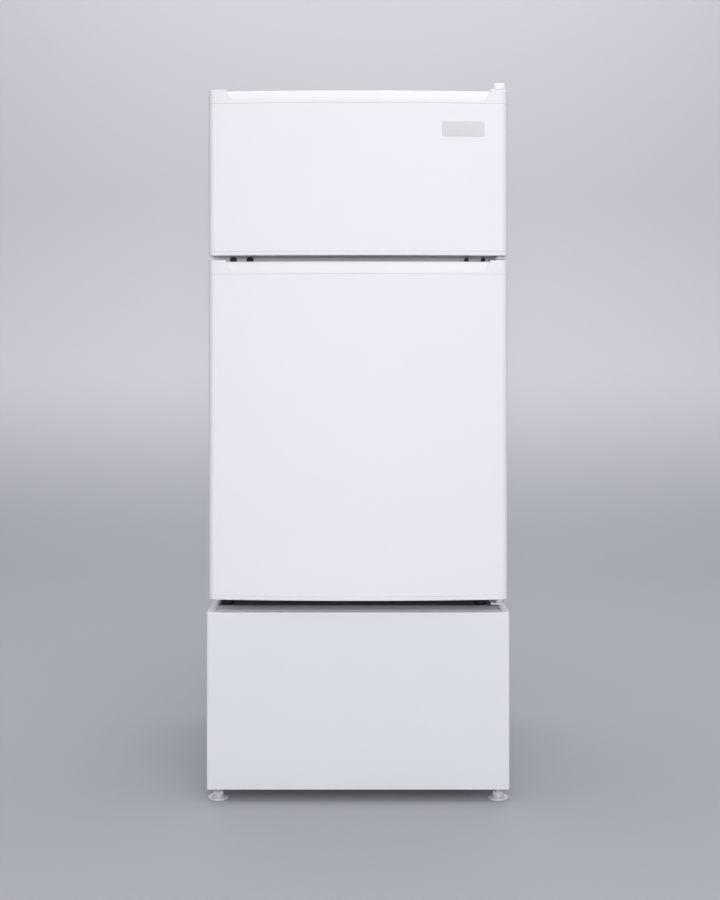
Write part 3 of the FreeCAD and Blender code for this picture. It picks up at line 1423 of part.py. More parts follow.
def evaporator():
    """The cold plate at the back of the freezer, with its raised channel and four spacers."""
    margin = S.evaporator_margin
    low = P.rail_top + margin
    high = P.freezer_ceiling - margin
    half = P.evaporator_half_width
    back = P.evaporator_face
    thick = S.evaporator_sheet
    plate = Part.makeBox(2 * half, thick, high - low, V(-half, back - thick, low))
    radius = S.evaporator_channel_radius
    inset = 2 * margin
    corners, step = snake(half - inset, low + inset, high - inset, EVAPORATOR_ROWS, back - thick)
    channel = tube(corners, radius, step * BEND_SHARE)
    behind = Part.makeBox(2 * half, S.evaporator_back_gap, high - low, V(-half, back, low))
    bosses = [
        Part.makeCylinder(S.evaporator_boss_radius, S.evaporator_back_gap, V(x, back, z), V(0, 1, 0))
        for x in (margin - half, half - margin)
        for z in (low + margin, high - margin)
    ]
    node(shaped("evaporator", plate.fuse([channel.cut(behind)]).fuse(bosses).removeSplitter()))


def cord_gland():
    """The plastic bush in the tab at the back where the mains lead would come out."""
    node(turned("cord_gland", ("gland_side_offset", "cabinet_back - gland_tab_sheet",
                               "pan_floor + gland_tab_height / 2"), "back", [
        ("gland_bore", "-gland_flange_height"),
        ("gland_radius + gland_flange", "-gland_flange_height"),
        ("gland_radius + gland_flange", "0"),
        ("gland_radius", "0"),
        ("gland_radius", "gland_tab_sheet"),
        ("gland_radius + gland_flange", "gland_tab_sheet"),
        ("gland_radius + gland_flange", "gland_tab_sheet + gland_flange_height"),
        ("gland_bore", "gland_tab_sheet + gland_flange_height"),
    ]))


pedestal_shell()
pedestal_deck()
pedestal_back_panel()
pedestal_feet()
cabinet_wrapper()
cabinet_base_pan()
cabinet_back_panel()
crossrail()
hole_plugs()
liners_and_foam()
cabinet_feet()
hinges()
doors()
shelves()
crisper()
console()
sealed_can = compressor()
condenser()
drier_and_pipes(sealed_can)
evaporator()
cord_gland()

doc.recompute()
for thing in doc.Objects:
    if "Invalid" in thing.State or "Error" in thing.State:
        raise RuntimeError(f"{thing.Label} did not build: {thing.State}")
for thing in nodes:
    if thing.Shape.isNull() or not thing.Shape.isValid() or not thing.Shape.Solids:
        raise RuntimeError(f"{thing.Label} is not a sound solid")

os.makedirs("parts", exist_ok=True)
for thing in nodes:
    thing.Shape.exportStep(f"parts/{thing.Label}.step")
print(len(nodes), "sub-parts written")
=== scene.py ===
"""A two-door fridge freezer on a folded steel pedestal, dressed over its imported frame.

The frame is in metres, with +Z up, X to the right, Y to the back, and the origin on the floor
under the middle of the whole. Sizes below are in millimetres, but for the studio's, and are
turned to metres where a mesh or a node takes them.
"""

from __future__ import annotations

import json
import logging
import math
from dataclasses import dataclass, replace
from enum import Enum
from functools import cache
from typing import Sequence

import bmesh
import bpy
from mathutils import Matrix, Vector

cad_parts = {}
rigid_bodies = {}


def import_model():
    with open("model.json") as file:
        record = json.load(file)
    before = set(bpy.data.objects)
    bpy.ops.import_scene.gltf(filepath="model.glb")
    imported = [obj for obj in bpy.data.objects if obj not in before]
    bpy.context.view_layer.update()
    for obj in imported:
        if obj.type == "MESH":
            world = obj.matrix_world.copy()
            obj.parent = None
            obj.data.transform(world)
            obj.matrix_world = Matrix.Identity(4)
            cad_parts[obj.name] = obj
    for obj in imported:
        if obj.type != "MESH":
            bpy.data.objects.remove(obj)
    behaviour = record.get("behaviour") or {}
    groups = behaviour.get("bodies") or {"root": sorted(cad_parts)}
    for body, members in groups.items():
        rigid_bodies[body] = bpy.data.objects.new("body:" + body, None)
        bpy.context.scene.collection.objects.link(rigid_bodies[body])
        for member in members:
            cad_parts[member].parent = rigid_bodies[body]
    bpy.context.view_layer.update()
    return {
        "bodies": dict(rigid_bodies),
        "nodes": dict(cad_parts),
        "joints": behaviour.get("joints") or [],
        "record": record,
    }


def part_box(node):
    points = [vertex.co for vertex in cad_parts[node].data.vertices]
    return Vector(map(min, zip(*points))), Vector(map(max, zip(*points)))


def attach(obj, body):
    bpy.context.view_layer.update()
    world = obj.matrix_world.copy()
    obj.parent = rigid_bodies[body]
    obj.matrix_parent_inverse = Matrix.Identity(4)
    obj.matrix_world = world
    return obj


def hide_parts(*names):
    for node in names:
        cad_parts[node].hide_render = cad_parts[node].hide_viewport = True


LOG = logging.getLogger("fridge")
MM = 0.001
QUARTER = math.pi / 2
# The turn in degrees between two faces above which their edge stays sharp.
SHARP = 38.0
# Where both doors' pins stand, as X and Y.
HINGE_AXIS = (234.0, -230.0)

Point = tuple[float, float]
Corner = tuple[float, float, float]
Place = Sequence[float]
Thing = bpy.types.Object
Tree = bpy.types.NodeTree
Socket = bpy.types.NodeSocket


# Shared helpers


def linear(hex_colour: str) -> tuple[float, ...]:
    """Turns an sRGB hex colour into a linear one.

    Args:
        hex_colour: a hash and six hex digits.

    Returns:
        The linear red, green, blue and an alpha of 1.
    """
    parts = [int(hex_colour[place:place + 2], 16) / 255 for place in (1, 3, 5)]
    return *(c / 12.92 if c <= 0.04045 else ((c + 0.055) / 1.055) ** 2.4 for c in parts), 1.0


def add_node(tree: Tree, kind: str, inputs: dict | None = None,
             **settings: object) -> bpy.types.NodeOutputs:
    """Adds a node, sets its properties, and fills or links its inputs.

    Args:
        tree: the shader or geometry tree.
        kind: the node's type name.
        inputs: values or sockets by the input's name or number.
        settings: the node's own properties.

    Returns:
        The node's outputs.
    """
    node = tree.nodes.new(kind)
    for name, value in settings.items():
        setattr(node, name, value)
    for key, value in (inputs or {}).items():
        if isinstance(value, Socket):
            tree.links.new(value, node.inputs[key])
        else:
            node.inputs[key].default_value = value
    return node.outputs


def blank_tree(owner: bpy.types.Material | bpy.types.World) -> Tree:
    """Gives a material or a world an empty node tree.

    Args:
        owner: the new material or world.

    Returns:
        The tree.
    """
    owner.use_nodes = True
    owner.node_tree.nodes.clear()
    return owner.node_tree


def linked(name: str, data: bpy.types.ID) -> Thing:
    """Puts a mesh, lamp or camera in the scene as an object at the origin.

    Args:
        name: the object's name.
        data: what the object holds.

    Returns:
        The new object.
    """
    thing = bpy.data.objects.new(name, data)
    bpy.context.scene.collection.objects.link(thing)
    return thing


def solid(name: str, shape: bmesh.types.BMesh) -> Thing:
    """Writes a bmesh into a new object and frees it.

    Args:
        name: the object's name.
        shape: the bmesh.

    Returns:
        The new object.
    """
    mesh = bpy.data.meshes.new(name)
    shape.to_mesh(mesh)
    shape.free()
    return linked(name, mesh)


def baked(piece: Thing) -> Thing:
    """Applies a piece's modifiers to its mesh.

    Args:
        piece: the piece, at the origin.

    Returns:
        The same object with a plain mesh and no modifiers.
    """
    evaluated = piece.evaluated_get(bpy.context.evaluated_depsgraph_get())
    mesh = bpy.data.meshes.new_from_object(evaluated)
    piece.modifiers.clear()
    piece.data = mesh
    return piece


def smooth(mesh: bpy.types.Mesh, angle: float) -> None:
    """Shades a mesh smooth, with sharp edges where its faces turn by more than an angle.

    Args:
        mesh: the mesh.
        angle: the turn in degrees that stays sharp.
    """
    mesh.shade_smooth()
    mesh.set_sharp_from_angle(angle=math.radians(angle))


def polished(piece: Thing, angle: float = SHARP) -> Thing:
    """Shades a piece smooth and keeps its flat faces flat next to small round edges.

    Args:
        piece: the piece.
        angle: the turn in degrees that stays sharp.

    Returns:
        The same piece.
    """
    smooth(piece.data, angle)
    piece.modifiers.new("flat faces stay flat", "WEIGHTED_NORMAL").keep_sharp = True
    return baked(piece)


def surface(name: str, rows: Sequence[Sequence[Place]], around: bool = True,
            along: bool = False, ends: bool = True, angle: float = SHARP) -> Thing:
    """Joins rows of points into one skin of quads.

    Args:
        name: the object's name.
        rows: the rows, all with the same number of points.
        around: whether each row is a closed ring.
        along: whether the last row meets the first.
        ends: whether the first and the last row are filled.
        angle: the turn in degrees that stays sharp.

    Returns:
        The new object, with its faces outward where it is closed.
    """
    shape = bmesh.new()
    grid = [[shape.verts.new(Vector(point) * MM) for point in row] for row in rows]
    count = len(rows[0])
    for step in range(len(rows) if along else len(rows) - 1):
        here, there = grid[step], grid[(step + 1) % len(rows)]
        for place in range(count if around else count - 1):
            after = (place + 1) % count
            shape.faces.new((here[place], here[after], there[after], there[place]))
    if ends:
        shape.faces.new(grid[0])
        shape.faces.new(grid[-1][::-1])
    bmesh.ops.remove_doubles(shape, verts=shape.verts, dist=0.004 * MM)
    bmesh.ops.recalc_face_normals(shape, faces=shape.faces)
    return polished(solid(name, shape), angle)


def merged(name: str, *pieces: Thing) -> Thing:
    """Makes one piece of several and removes them.

    Args:
        name: the new object's name.
        pieces: the pieces, all at the origin.

    Returns:
        The new object.
    """
    shape = bmesh.new()
    for piece in pieces:
        shape.from_mesh(piece.data)
        bpy.data.objects.remove(piece)
    return polished(solid(name, shape))


def carved(piece: Thing, *cutters: Thing) -> Thing:
    """Takes the cutters' space out of a closed piece and removes them.

    Args:
        piece: the piece.
        cutters: closed objects.

    Returns:
        The same piece.
    """
    for cutter in cutters:
        tool = piece.modifiers.new("cut", "BOOLEAN")
        tool.operation = "DIFFERENCE"
        tool.solver = "EXACT"
        tool.object = cutter
    baked(piece)
    for cutter in cutters:
        bpy.data.objects.remove(cutter)
    return polished(piece)


def bored(piece: Thing, radius: float, low: float, high: float, places: Sequence[Place],
          steps: int = 36) -> Thing:
    """Drills upright holes through a closed piece.

    Args:
        piece: the piece.
        radius: the holes' radius.
        low: the level at which they start.
        high: the level at which they end.
        places: the X and Y of each.
        steps: segments round each.

    Returns:
        The same piece.
    """
    corners = [(0, low, 0), (radius, low, 0), (radius, high, 0), (0, high, 0)]
    return carved(piece, *[lathe("hole", corners, (*place, 0), steps=steps) for place in places])


def midpoint(low: Place, high: Place) -> Corner:
    """The middle of a box."""
    return tuple((a + b) / 2 for a, b in zip(low, high))


def ease(low: float, high: float, value: float) -> float:
    """A smooth step from 0 at low to 1 at high.

    Args:
        low: where it is 0.
        high: where it is 1, above or below low.
        value: the place.

    Returns:
        The share at the place.
    """
    share = clamped((value - low) / (high - low))
    return share * share * (3 - 2 * share)


def clamped(value: float) -> float:
    """The value, or the nearer of 0 and 1 where it lies outside them."""
    return min(max(value, 0.0), 1.0)


def softened(corners: Sequence[Corner], steps: int = 4, closed: bool = True) -> list[Point]:
    """Rounds the corners of an outline.

    Args:
        corners: across, along and the radius of each corner, which shrinks to fit its sides.
        steps: segments in each rounded corner.
        closed: whether the last corner meets the first.

    Returns:
        The outline's points. A corner with no radius gives one, and any other steps + 1.
    """
    points = []
    last = len(corners) - 1
    for place, (across, along, radius) in enumerate(corners):
        here = Vector((across, along))
        if radius <= 0 or (not closed and place in (0, last)):
            points.append((across, along))
            continue
        before = Vector(corners[place - 1][:2]) - here
        after = Vector(corners[0 if place == last else place + 1][:2]) - here
        reach = 0.0
        if min(before.length, after.length) > 1e-6:
            turn = math.pi - before.angle(after)
            reach = min(radius * math.tan(turn / 2), 0.49 * before.length, 0.49 * after.length)
        start = here + before.normalized() * reach
        end = here + after.normalized() * reach
        for step in range(steps + 1):
            share = step / steps
            spot = start * (1 - share) ** 2 + here * 2 * share * (1 - share) + end * share * share
            points.append((spot.x, spot.y))
    return points


def round_rect(low: Point, high: Point, radius: float, steps: int = 5,
               runs: int = 1) -> list[Point]:
    """A rectangle with round corners.

    Args:
        low: its lowest corner.
        high: its highest corner.
        radius: the radius of its corners.
        steps: segments in each corner.
        runs: segments in each straight side.

    Returns:
        Its points, anticlockwise from the start of the lowest corner's arc.
    """
    radius = max(min(radius, (high[0] - low[0]) / 2, (high[1] - low[1]) / 2), 0.01)
    left, near, right, far = (low[0] + radius, low[1] + radius, high[0] - radius,
                              high[1] - radius)
    arcs = []
    for number, (across, along) in enumerate(((left, near), (right, near), (right, far),
                                              (left, far))):
        turns = [math.pi * (1 + number / 2 + step / steps / 2) for step in range(steps + 1)]
        arcs.append([(across + radius * math.cos(t), along + radius * math.sin(t))
                     for t in turns])
    points = []
    for number, arc in enumerate(arcs):
        points += arc
        start, end = Vector(arc[-1]), Vector(arcs[(number + 1) % 4][0])
        points += [tuple(start.lerp(end, step / runs)) for step in range(1, runs)]
    return points


def drawn_in(low: Place, high: Place, inset: float, corner: float,
             least: float) -> tuple[Point, Point, float]:
    """A rectangle drawn in on all four sides.

    Args:
        low: its lowest corner.
        high: its highest corner.
        inset: how far it is drawn in.
        corner: the radius of its corners before.
        least: the least radius after.

    Returns:
        Its new lowest corner, highest corner and radius.
    """
    return ((low[0] + inset, low[1] + inset), (high[0] - inset, high[1] - inset),
            max(corner - inset, least))


def round_edge(radius: float, steps: int) -> list[Point]:
    """The profile of a round edge, from the flat face outward.

    Args:
        radius: its radius.
        steps: its segments.

    Returns:
        How far each point is drawn in, and how high it is over the face.
    """
    turns = [QUARTER * step / steps for step in range(steps + 1)]
    return [(radius * (1 - math.sin(turn)), radius * (1 - math.cos(turn))) for turn in turns]


AXES = {
    "up": Matrix.Identity(3),
    "down": Matrix.Rotation(math.pi, 3, "X"),
    "front": Matrix.Rotation(QUARTER, 3, "X"),
    "back": Matrix.Rotation(-QUARTER, 3, "X"),
}


def lathe(name: str, corners: Sequence[Corner], place: Place = (0, 0, 0), facing: str = "up",
          steps: int = 48, soft: int = 4, ring: bool = False, flutes: int = 0,
          flute_depth: float = 0.0) -> Thing:
    """Turns an outline about its own axis.

    Args:
        name: the object's name.
        corners: radius, height and rounding of each corner, from one end of the axis to the other.
        place: where the axis starts.
        facing: the direction of the axis, a key of AXES.
        steps: segments round the axis.
        soft: segments in each rounded corner.
        ring: whether the outline closes on itself, clear of the axis.
        flutes: how many grooves run along the side.
        flute_depth: how deep they are, of the radius.

    Returns:
        The new object.
    """
    outline = softened(corners, soft, closed=ring)
    if ring:
        outline.append(outline[0])
    rows = []
    for step in range(steps):
        turn = 2 * math.pi * step / steps
        share = 1 - flute_depth * (0.5 + 0.5 * math.cos(flutes * turn)) if flutes else 1.0
        rows.append([
            AXES[facing] @ Vector((r * share * math.cos(turn), r * share * math.sin(turn), h))
            + Vector(place) for r, h in outline
        ])
    return surface(name, rows, around=False, along=True, ends=False)


def stacked(name: str, facing: str, rings: Sequence[tuple[Point, Point, float, float]],
            steps: int = 5) -> Thing:
    """Joins round-cornered rectangles, each at its own level, into a closed skin.

    Args:
        name: the object's name.
        facing: "up" for rectangles over X and Y, "front" for rectangles over X and Z.
        rings: the lowest corner, highest corner, corner radius and level of each.
        steps: segments in each corner.

    Returns:
        The new object.
    """
    return surface(name, [
        [(u, v, level) if facing == "up" else (u, level, v)
         for u, v in round_rect(low, high, radius, steps)]
        for low, high, radius, level in rings
    ])


def pillow(name: str, low: Place, high: Place, edge: float, corner: float | None = None,
           facing: str = "up") -> Thing:
    """A block with round edges all over.

    Args:
        name: the object's name.
        low: its lowest corner.
        high: its highest corner.
        edge: the radius of the edges round its two faces.
        corner: the radius of the edges between the faces, or as edge where it isn't given.
        facing: the axis of the faces, "up" or "front".

    Returns:
        The new object.
    """
    corner = edge if corner is None else corner
    along, deep = (1, 2) if facing == "up" else (2, 1)
    near, far = (low[0], low[along]), (high[0], high[along])
    rounding = round_edge(edge, 4)
    rings = [(*drawn_in(near, far, inset, corner, 0.05), low[deep] + rise)
             for inset, rise in rounding]
    rings += [(*drawn_in(near, far, inset, corner, 0.05), high[deep] - rise)
              for inset, rise in rounding[::-1]]
    return stacked(name, facing, rings)


def vessel(name: str, low: Place, high: Place, wall: float, corner: float, foot: float) -> Thing:
    """An open tub with a wall of one thickness.

    Args:
        name: the object's name.
        low: its lowest outer corner.
        high: its highest outer corner, at the rim.
        wall: the wall's thickness.
        corner: the radius of the upright corners outside.
        foot: the radius where the floor meets the walls.

    Returns:
        The new object.
    """
    outline = softened([
        (foot * 2, low[2], 0), (0, low[2], foot), (0, high[2], wall * 0.5),
        (wall, high[2], wall * 0.5), (wall, low[2] + wall, max(foot - wall, wall)),
        (foot * 2 + wall, low[2] + wall, 0),
    ], closed=False)
    rings = [(*drawn_in(low, high, inset, corner, 0.5), level) for inset, level in outline]
    return stacked(name, "up", rings, steps=6)


def circle(radius: float, steps: int) -> list[Point]:
    """The points of a circle."""
    turns = [2 * math.pi * step / steps for step in range(steps)]
    return [(radius * math.cos(turn), radius * math.sin(turn)) for turn in turns]


def screw_template(head: float, height: float, shank: float, length: float) -> Thing:
    """A domed screw head with a cross recess, on a short shank.

    Args:
        head: the head's radius.
        height: the head's height.
        shank: the shank's radius.
        length: the shank's length.

    Returns:
        The template, with its seat at the origin and its axis along Z.
    """
    screw = lathe("screw_template", [
        (0, -length, 0), (shank, -length, 0.3), (shank, 0, 0), (head, 0, 0.2),
        (head, height * 0.35, 0.6), (head * 0.72, height, 1.4), (0, height, 0),
    ], steps=24)
    wide, narrow, deep = head * 0.56, head * 0.12, height * 0.75
    blades = [pillow("cross", (-across, -along, height - deep), (across, along, height + 1), 0.05)
              for across, along in ((wide, narrow), (narrow, wide))]
    return carved(screw, *blades)


# Geometry Nodes


def new_tree(name: str, **inputs: str) -> tuple[Tree, bpy.types.NodeOutputs]:
    """Starts a Geometry Nodes tree.

    Args:
        name: the tree's name.
        inputs: the kind of each named input.

    Returns:
        The tree and its inputs, as sockets to link from.
    """
    tree = bpy.data.node_groups.new(name, "GeometryNodeTree")
    for label, kind in {"Geometry": "Geometry", **inputs, "Finish": "Material"}.items():
        tree.interface.new_socket(label, in_out="INPUT", socket_type="NodeSocket" + kind)
    tree.interface.new_socket("Geometry", in_out="OUTPUT", socket_type="NodeSocketGeometry")
    return tree, add_node(tree, "NodeGroupInput")


def end_tree(tree: Tree, shape: Socket, given: bpy.types.NodeOutputs) -> Tree:
    """Ends a tree with real geometry that has its material.

    Args:
        tree: the tree.
        shape: the geometry so far.
        given: the tree's inputs.

    Returns:
        The tree.
    """
    real = add_node(tree, "GeometryNodeRealizeInstances", {"Geometry": shape})
    painted = add_node(tree, "GeometryNodeSetMaterial",
                       {"Geometry": real[0], "Material": given["Finish"]})
    add_node(tree, "NodeGroupOutput", {"Geometry": painted[0]})
    return tree


def grown(name: str, tree: Tree, base: bpy.types.Mesh | None, finish: Finish,
          **values: object) -> Thing:
    """Runs a Geometry Nodes tree and keeps its result as a plain mesh.

    Args:
        name: the object's name.
        tree: the tree.
        base: the mesh that the tree starts from, or none.
        finish: the finish of the result.
        values: the tree's other named inputs.

    Returns:
        The new object.
    """
    values["Finish"] = finish.material()
    thing = linked(name, base or bpy.data.meshes.new(name))
    modifier = thing.modifiers.new("grow", "NODES")
    modifier.node_group = tree
    for item in tree.interface.items_tree:
        if item.in_out == "INPUT" and item.name in values:
            modifier[item.identifier] = values[item.name]
    return polished(baked(thing))


@cache
def set_out_tree() -> Tree:
    """Copies of a template at the points of the base, each along the point's own direction.

    Returns:
        The tree, made once.
    """
    tree, given = new_tree("set out", Template="Object", Seed="Int")
    aim = add_node(tree, "GeometryNodeInputNamedAttribute", {"Name": "aim"},
                   data_type="FLOAT_VECTOR")
    upright = add_node(tree, "FunctionNodeAlignRotationToVector", {"Vector": aim["Attribute"]},
                       axis="Z")
    # Of the node's minimum and maximum, the third input is the maximum as a float.
    twist = add_node(tree, "FunctionNodeRandomValue", {"Seed": given["Seed"], 3: math.pi},
                     data_type="FLOAT")
    turn = add_node(tree, "FunctionNodeAxisAngleToRotation",
                    {"Axis": (0, 0, 1), "Angle": twist[1]})
    both = add_node(tree, "FunctionNodeRotateRotation", {0: upright[0], 1: turn[0]},
                    rotation_space="LOCAL")
    template = add_node(tree, "GeometryNodeObjectInfo", {"Object": given["Template"]})
    copies = add_node(tree, "GeometryNodeInstanceOnPoints", {
        "Points": given["Geometry"], "Instance": template["Geometry"], "Rotation": both[0],
    })
    return end_tree(tree, copies[0], given)


@cache
def swept_tree() -> Tree:
    """A profile along the base's line, with round bends of one radius.

    Returns:
        The tree, made once.
    """
    tree, given = new_tree("swept", Profile="Object", Bend="Float", Steps="Int")
    line = add_node(tree, "GeometryNodeMeshToCurve", {"Mesh": given["Geometry"]})
    bent = add_node(tree, "GeometryNodeFilletCurve", {
        "Curve": line[0], "Radius": given["Bend"], "Count": given["Steps"], "Limit Radius": True,
    }, mode="POLY")
    held = add_node(tree, "GeometryNodeSetCurveNormal", {"Curve": bent[0], "Normal": (0, 1, 0)},
                    mode="FREE")
    profile = add_node(tree, "GeometryNodeObjectInfo", {"Object": given["Profile"]})
    ring = add_node(tree, "GeometryNodeMeshToCurve", {"Mesh": profile["Geometry"]})
    skin = add_node(tree, "GeometryNodeCurveToMesh",
                    {"Curve": held[0], "Profile Curve": ring[0], "Fill Caps": True})
    return end_tree(tree, skin[0], given)


@cache
def rods_tree() -> Tree:
    """A row of round upright wires, one pitch apart along X.

    Returns:
        The tree, made once.
    """
    tree, given = new_tree("rods", Count="Int", Pitch="Vector", First="Vector", Length="Vector",
                           Radius="Float")
    spots = add_node(tree, "GeometryNodeMeshLine", {
        "Count": given["Count"], "Start Location": given["First"], "Offset": given["Pitch"],
    })
    line = add_node(tree, "GeometryNodeCurvePrimitiveLine", {"End": given["Length"]})
    ring = add_node(tree, "GeometryNodeCurvePrimitiveCircle",
                    {"Resolution": 8, "Radius": given["Radius"]})
    wire = add_node(tree, "GeometryNodeCurveToMesh",
                    {"Curve": line[0], "Profile Curve": ring[0], "Fill Caps": True})
    copies = add_node(tree, "GeometryNodeInstanceOnPoints",
                      {"Points": spots[0], "Instance": wire[0]})
    return end_tree(tree, copies[0], given)


@cache
def thread_tree() -> Tree:
    """The ridge of a screw thread, wound round Z from its start.

    Returns:
        The tree, made once.
    """
    tree, given = new_tree("thread", Radius="Float", Turns="Float", Length="Float",
                           Ridge="Float", Start="Vector")
    coil = add_node(tree, "GeometryNodeCurveSpiral", {
        "Resolution": 20, "Rotations": given["Turns"], "Start Radius": given["Radius"],
        "End Radius": given["Radius"], "Height": given["Length"],
    })
    ring = add_node(tree, "GeometryNodeCurvePrimitiveCircle",
                    {"Resolution": 4, "Radius": given["Ridge"]})
    ridge = add_node(tree, "GeometryNodeCurveToMesh",
                     {"Curve": coil[0], "Profile Curve": ring[0], "Fill Caps": True})
    placed = add_node(tree, "GeometryNodeTransform",
                      {"Geometry": ridge[0], "Translation": given["Start"]})
    return end_tree(tree, placed[0], given)


def line_mesh(name: str, points: Sequence[Place], closed: bool = False) -> bpy.types.Mesh:
    """A mesh of edges only.

    Args:
        name: its name.
        points: its points, in order.
        closed: whether the last meets the first.

    Returns:
        The mesh.
    """
    mesh = bpy.data.meshes.new(name)
    count = len(points)
    edges = [(step, (step + 1) % count) for step in range(count if closed else count - 1)]
    mesh.from_pydata([Vector(point) * MM for point in points], edges, [])
    return mesh


def swept(name: str, profile: Sequence[Point], route: Sequence[Place], bend: float,
          finish: Finish, closed: bool = False, steps: int = 8) -> Thing:
    """Carries a closed profile along a route.

    Args:
        name: the new object's name.
        profile: its points, to the back and across.
        route: the route's corners.
        bend: the radius at each corner.
        finish: the finish of the result.
        closed: whether the route is a loop.
        steps: points in each bend.

    Returns:
        The new object.
    """
    outline = linked(name + "_profile",
                     line_mesh(name + "_profile", [(x, y, 0) for x, y in profile], True))
    piece = grown(name, swept_tree(), line_mesh(name + "_route", route, closed), finish,
                  Profile=outline, Bend=bend * MM, Steps=steps)
    bpy.data.objects.remove(outline)
    return piece


# Finishes


class Texture(Enum):
    """How a finish's surface was made, which decides its pattern."""

    PEEL = "the soft waves of baked enamel"
    GRAIN = "the even grain of a moulding or powder coat"
    SPANGLE = "the crystals of hot-dip galvanising"
    BRUSHED = "fine lines along X"
    PLAIN = "a slow drift alone"


@dataclass(frozen=True)
class Finish:
    """One real surface: its colours, its gloss and the size of its pattern.

    Colours are sRGB hex. A cover is a second colour behind a line across the surface, given by
    its Y, and serves as painted shade.
    """

    name: str
    slot: str
    colour: str
    tint: str
    roughness: float
    spread: float
    grain_mm: float = 2.0
    depth_mm: float = 0.01
    texture: Texture = Texture.GRAIN
    metallic: float = 0.0
    ior: float = 1.5
    transmission: float = 0.0
    coat: float = 0.0
    drift_mm: float = 120.0
    cover: str = ""
    painted_shade_from_mm: float = 0.0

    @cache
    def material(self) -> bpy.types.Material:
        """Makes the Blender material of this finish, once.

        Returns:
            The material.
        """
        made = bpy.data.materials.new(self.name)
        tree = blank_tree(made)
        place = add_node(tree, "ShaderNodeTexCoord")["Object"]
        drift = add_node(tree, "ShaderNodeTexNoise", {
            "Vector": place, "Scale": 1 / (self.drift_mm * MM), "Detail": 3.0,
        })["Fac"]
        fine = self.pattern(tree, place)
        # The seventh and eighth inputs of a Mix node are its colours, and the third output.
        colour = add_node(tree, "ShaderNodeMix", {
            "Factor": drift, 6: linear(self.colour), 7: linear(self.tint),
        }, data_type="RGBA")[2]
        # The cover paints shade: a darker colour on the surface behind a line in Y.
        if self.cover:
            depth = add_node(tree, "ShaderNodeSeparateXYZ", {"Vector": place})["Y"]
            behind = add_node(tree, "ShaderNodeMath", {0: depth, 1: self.painted_shade_from_mm * MM},
                              operation="GREATER_THAN")[0]
            colour = add_node(tree, "ShaderNodeMix", {
                "Factor": behind, 6: colour, 7: linear(self.cover),
            }, data_type="RGBA")[2]
        both = add_node(tree, "ShaderNodeMath", {0: drift, 1: fine}, operation="ADD")[0]
        rough = add_node(tree, "ShaderNodeMapRange", {
            "Value": both, "From Min": 0.5, "From Max": 1.5,
            "To Min": max(self.roughness - self.spread, 0.02),
            "To Max": self.roughness + self.spread,
        })["Result"]
        bump = add_node(tree, "ShaderNodeBump", {
            "Height": fine, "Distance": self.depth_mm * MM, "Strength": 1.0,
        })["Normal"]
        shader = add_node(tree, "ShaderNodeBsdfPrincipled", {
            "Base Color": colour, "Roughness": rough, "Normal": bump, "Metallic": self.metallic,
            "IOR": self.ior, "Transmission Weight": self.transmission, "Coat Weight": self.coat,
            "Coat Roughness": 0.12,
        })["BSDF"]
        add_node(tree, "ShaderNodeOutputMaterial", {"Surface": shader})
        return made

    def pattern(self, tree: Tree, place: Socket) -> Socket:
        """Adds the height of the surface's own pattern.

        Args:
            tree: the material's tree.
            place: Object coordinates.

        Returns:
            A socket from 0 to 1.
        """
        scale = 1 / (self.grain_mm * MM)
        if self.texture is Texture.SPANGLE:
            return add_node(tree, "ShaderNodeTexVoronoi", {"Vector": place, "Scale": scale},
                            feature="F1")["Color"]
        if self.texture is Texture.BRUSHED:
            place = add_node(tree, "ShaderNodeMapping",
                             {"Vector": place, "Scale": (0.02, 1.0, 1.0)})["Vector"]
        detail = {Texture.PEEL: 1.0, Texture.PLAIN: 2.0}.get(self.texture, 4.0)
        return add_node(tree, "ShaderNodeTexNoise", {
            "Vector": place, "Scale": scale, "Detail": detail,
        })["Fac"]


# White polyester enamel baked on flat steel before it is bent: cool white, semi-gloss, with
# a wave so slow that only a reflection shows it.
DOOR_ENAMEL = Finish("baked enamel on door steel", "door_steel", "#F2F2F6", "#EFEFF4",
                     0.34, 0.03, 9.0, 0.012, Texture.PEEL, coat=0.25)
# The same enamel over an embossed sheet, which hides dents and breaks up the highlight.
CABINET_ENAMEL = Finish("baked enamel on embossed steel", "cabinet_steel", "#EEEEF2", "#EBEBF0",
                        0.42, 0.05, 1.6, 0.05)
# Powder coat from one pass of a gun: flatter than enamel, with a fine even grain.
PEDESTAL_COAT = Finish("powder coat on folded steel", "pedestal_steel", "#EBECF0", "#E8E9EE",
                       0.46, 0.04, 1.2, 0.02)
# The same coat with painted shade: a darker grey painted on the deck behind the cabinet's
# front, where the cabinet above shades it; the deck is not bare primer there.
DECK_COAT_WITH_PAINTED_SHADE = replace(PEDESTAL_COAT, name="powder coat with painted shade under the cabinet", cover="#83858A",
                    painted_shade_from_mm=-195.0)
# High-impact polystyrene from a polished mould: as white as the doors, slightly warmer.
CAP_PLASTIC = Finish("moulded polystyrene", "cap_plastic", "#F1F1F5", "#EEEEF2",
                     0.36, 0.04, 3.0, 0.008)
# The same plastic drawn over a mould as a sheet: smoother and a little thin at the corners.
LINER_PLASTIC = Finish("vacuum-formed polystyrene", "liner_plastic", "#F3F4F5", "#EEF0F2",
                       0.3, 0.05, 14.0, 0.03, Texture.PEEL)
# The same plastic again, moulded for what is inside: a little greyer and duller than the caps.
INSIDE_PLASTIC = Finish("moulded white polystyrene", "inside_plastic", "#EEF0F2", "#E9EBEE",
                        0.38, 0.05, 1.5)
# Soft white vinyl: dull, and a shade darker than what it seals.
GASKET_VINYL = Finish("extruded vinyl", "gasket_vinyl", "#DEDFE2", "#D5D7DB", 0.58, 0.06, 0.8)
# Hot-dip galvanised sheet: grey, patchy from its crystals.
GALVANISED = Finish("galvanised sheet", "zinc_steel", "#A9ADB1", "#B9BCBF",
                    0.42, 0.1, 11.0, 0.006, Texture.SPANGLE, 1.0)
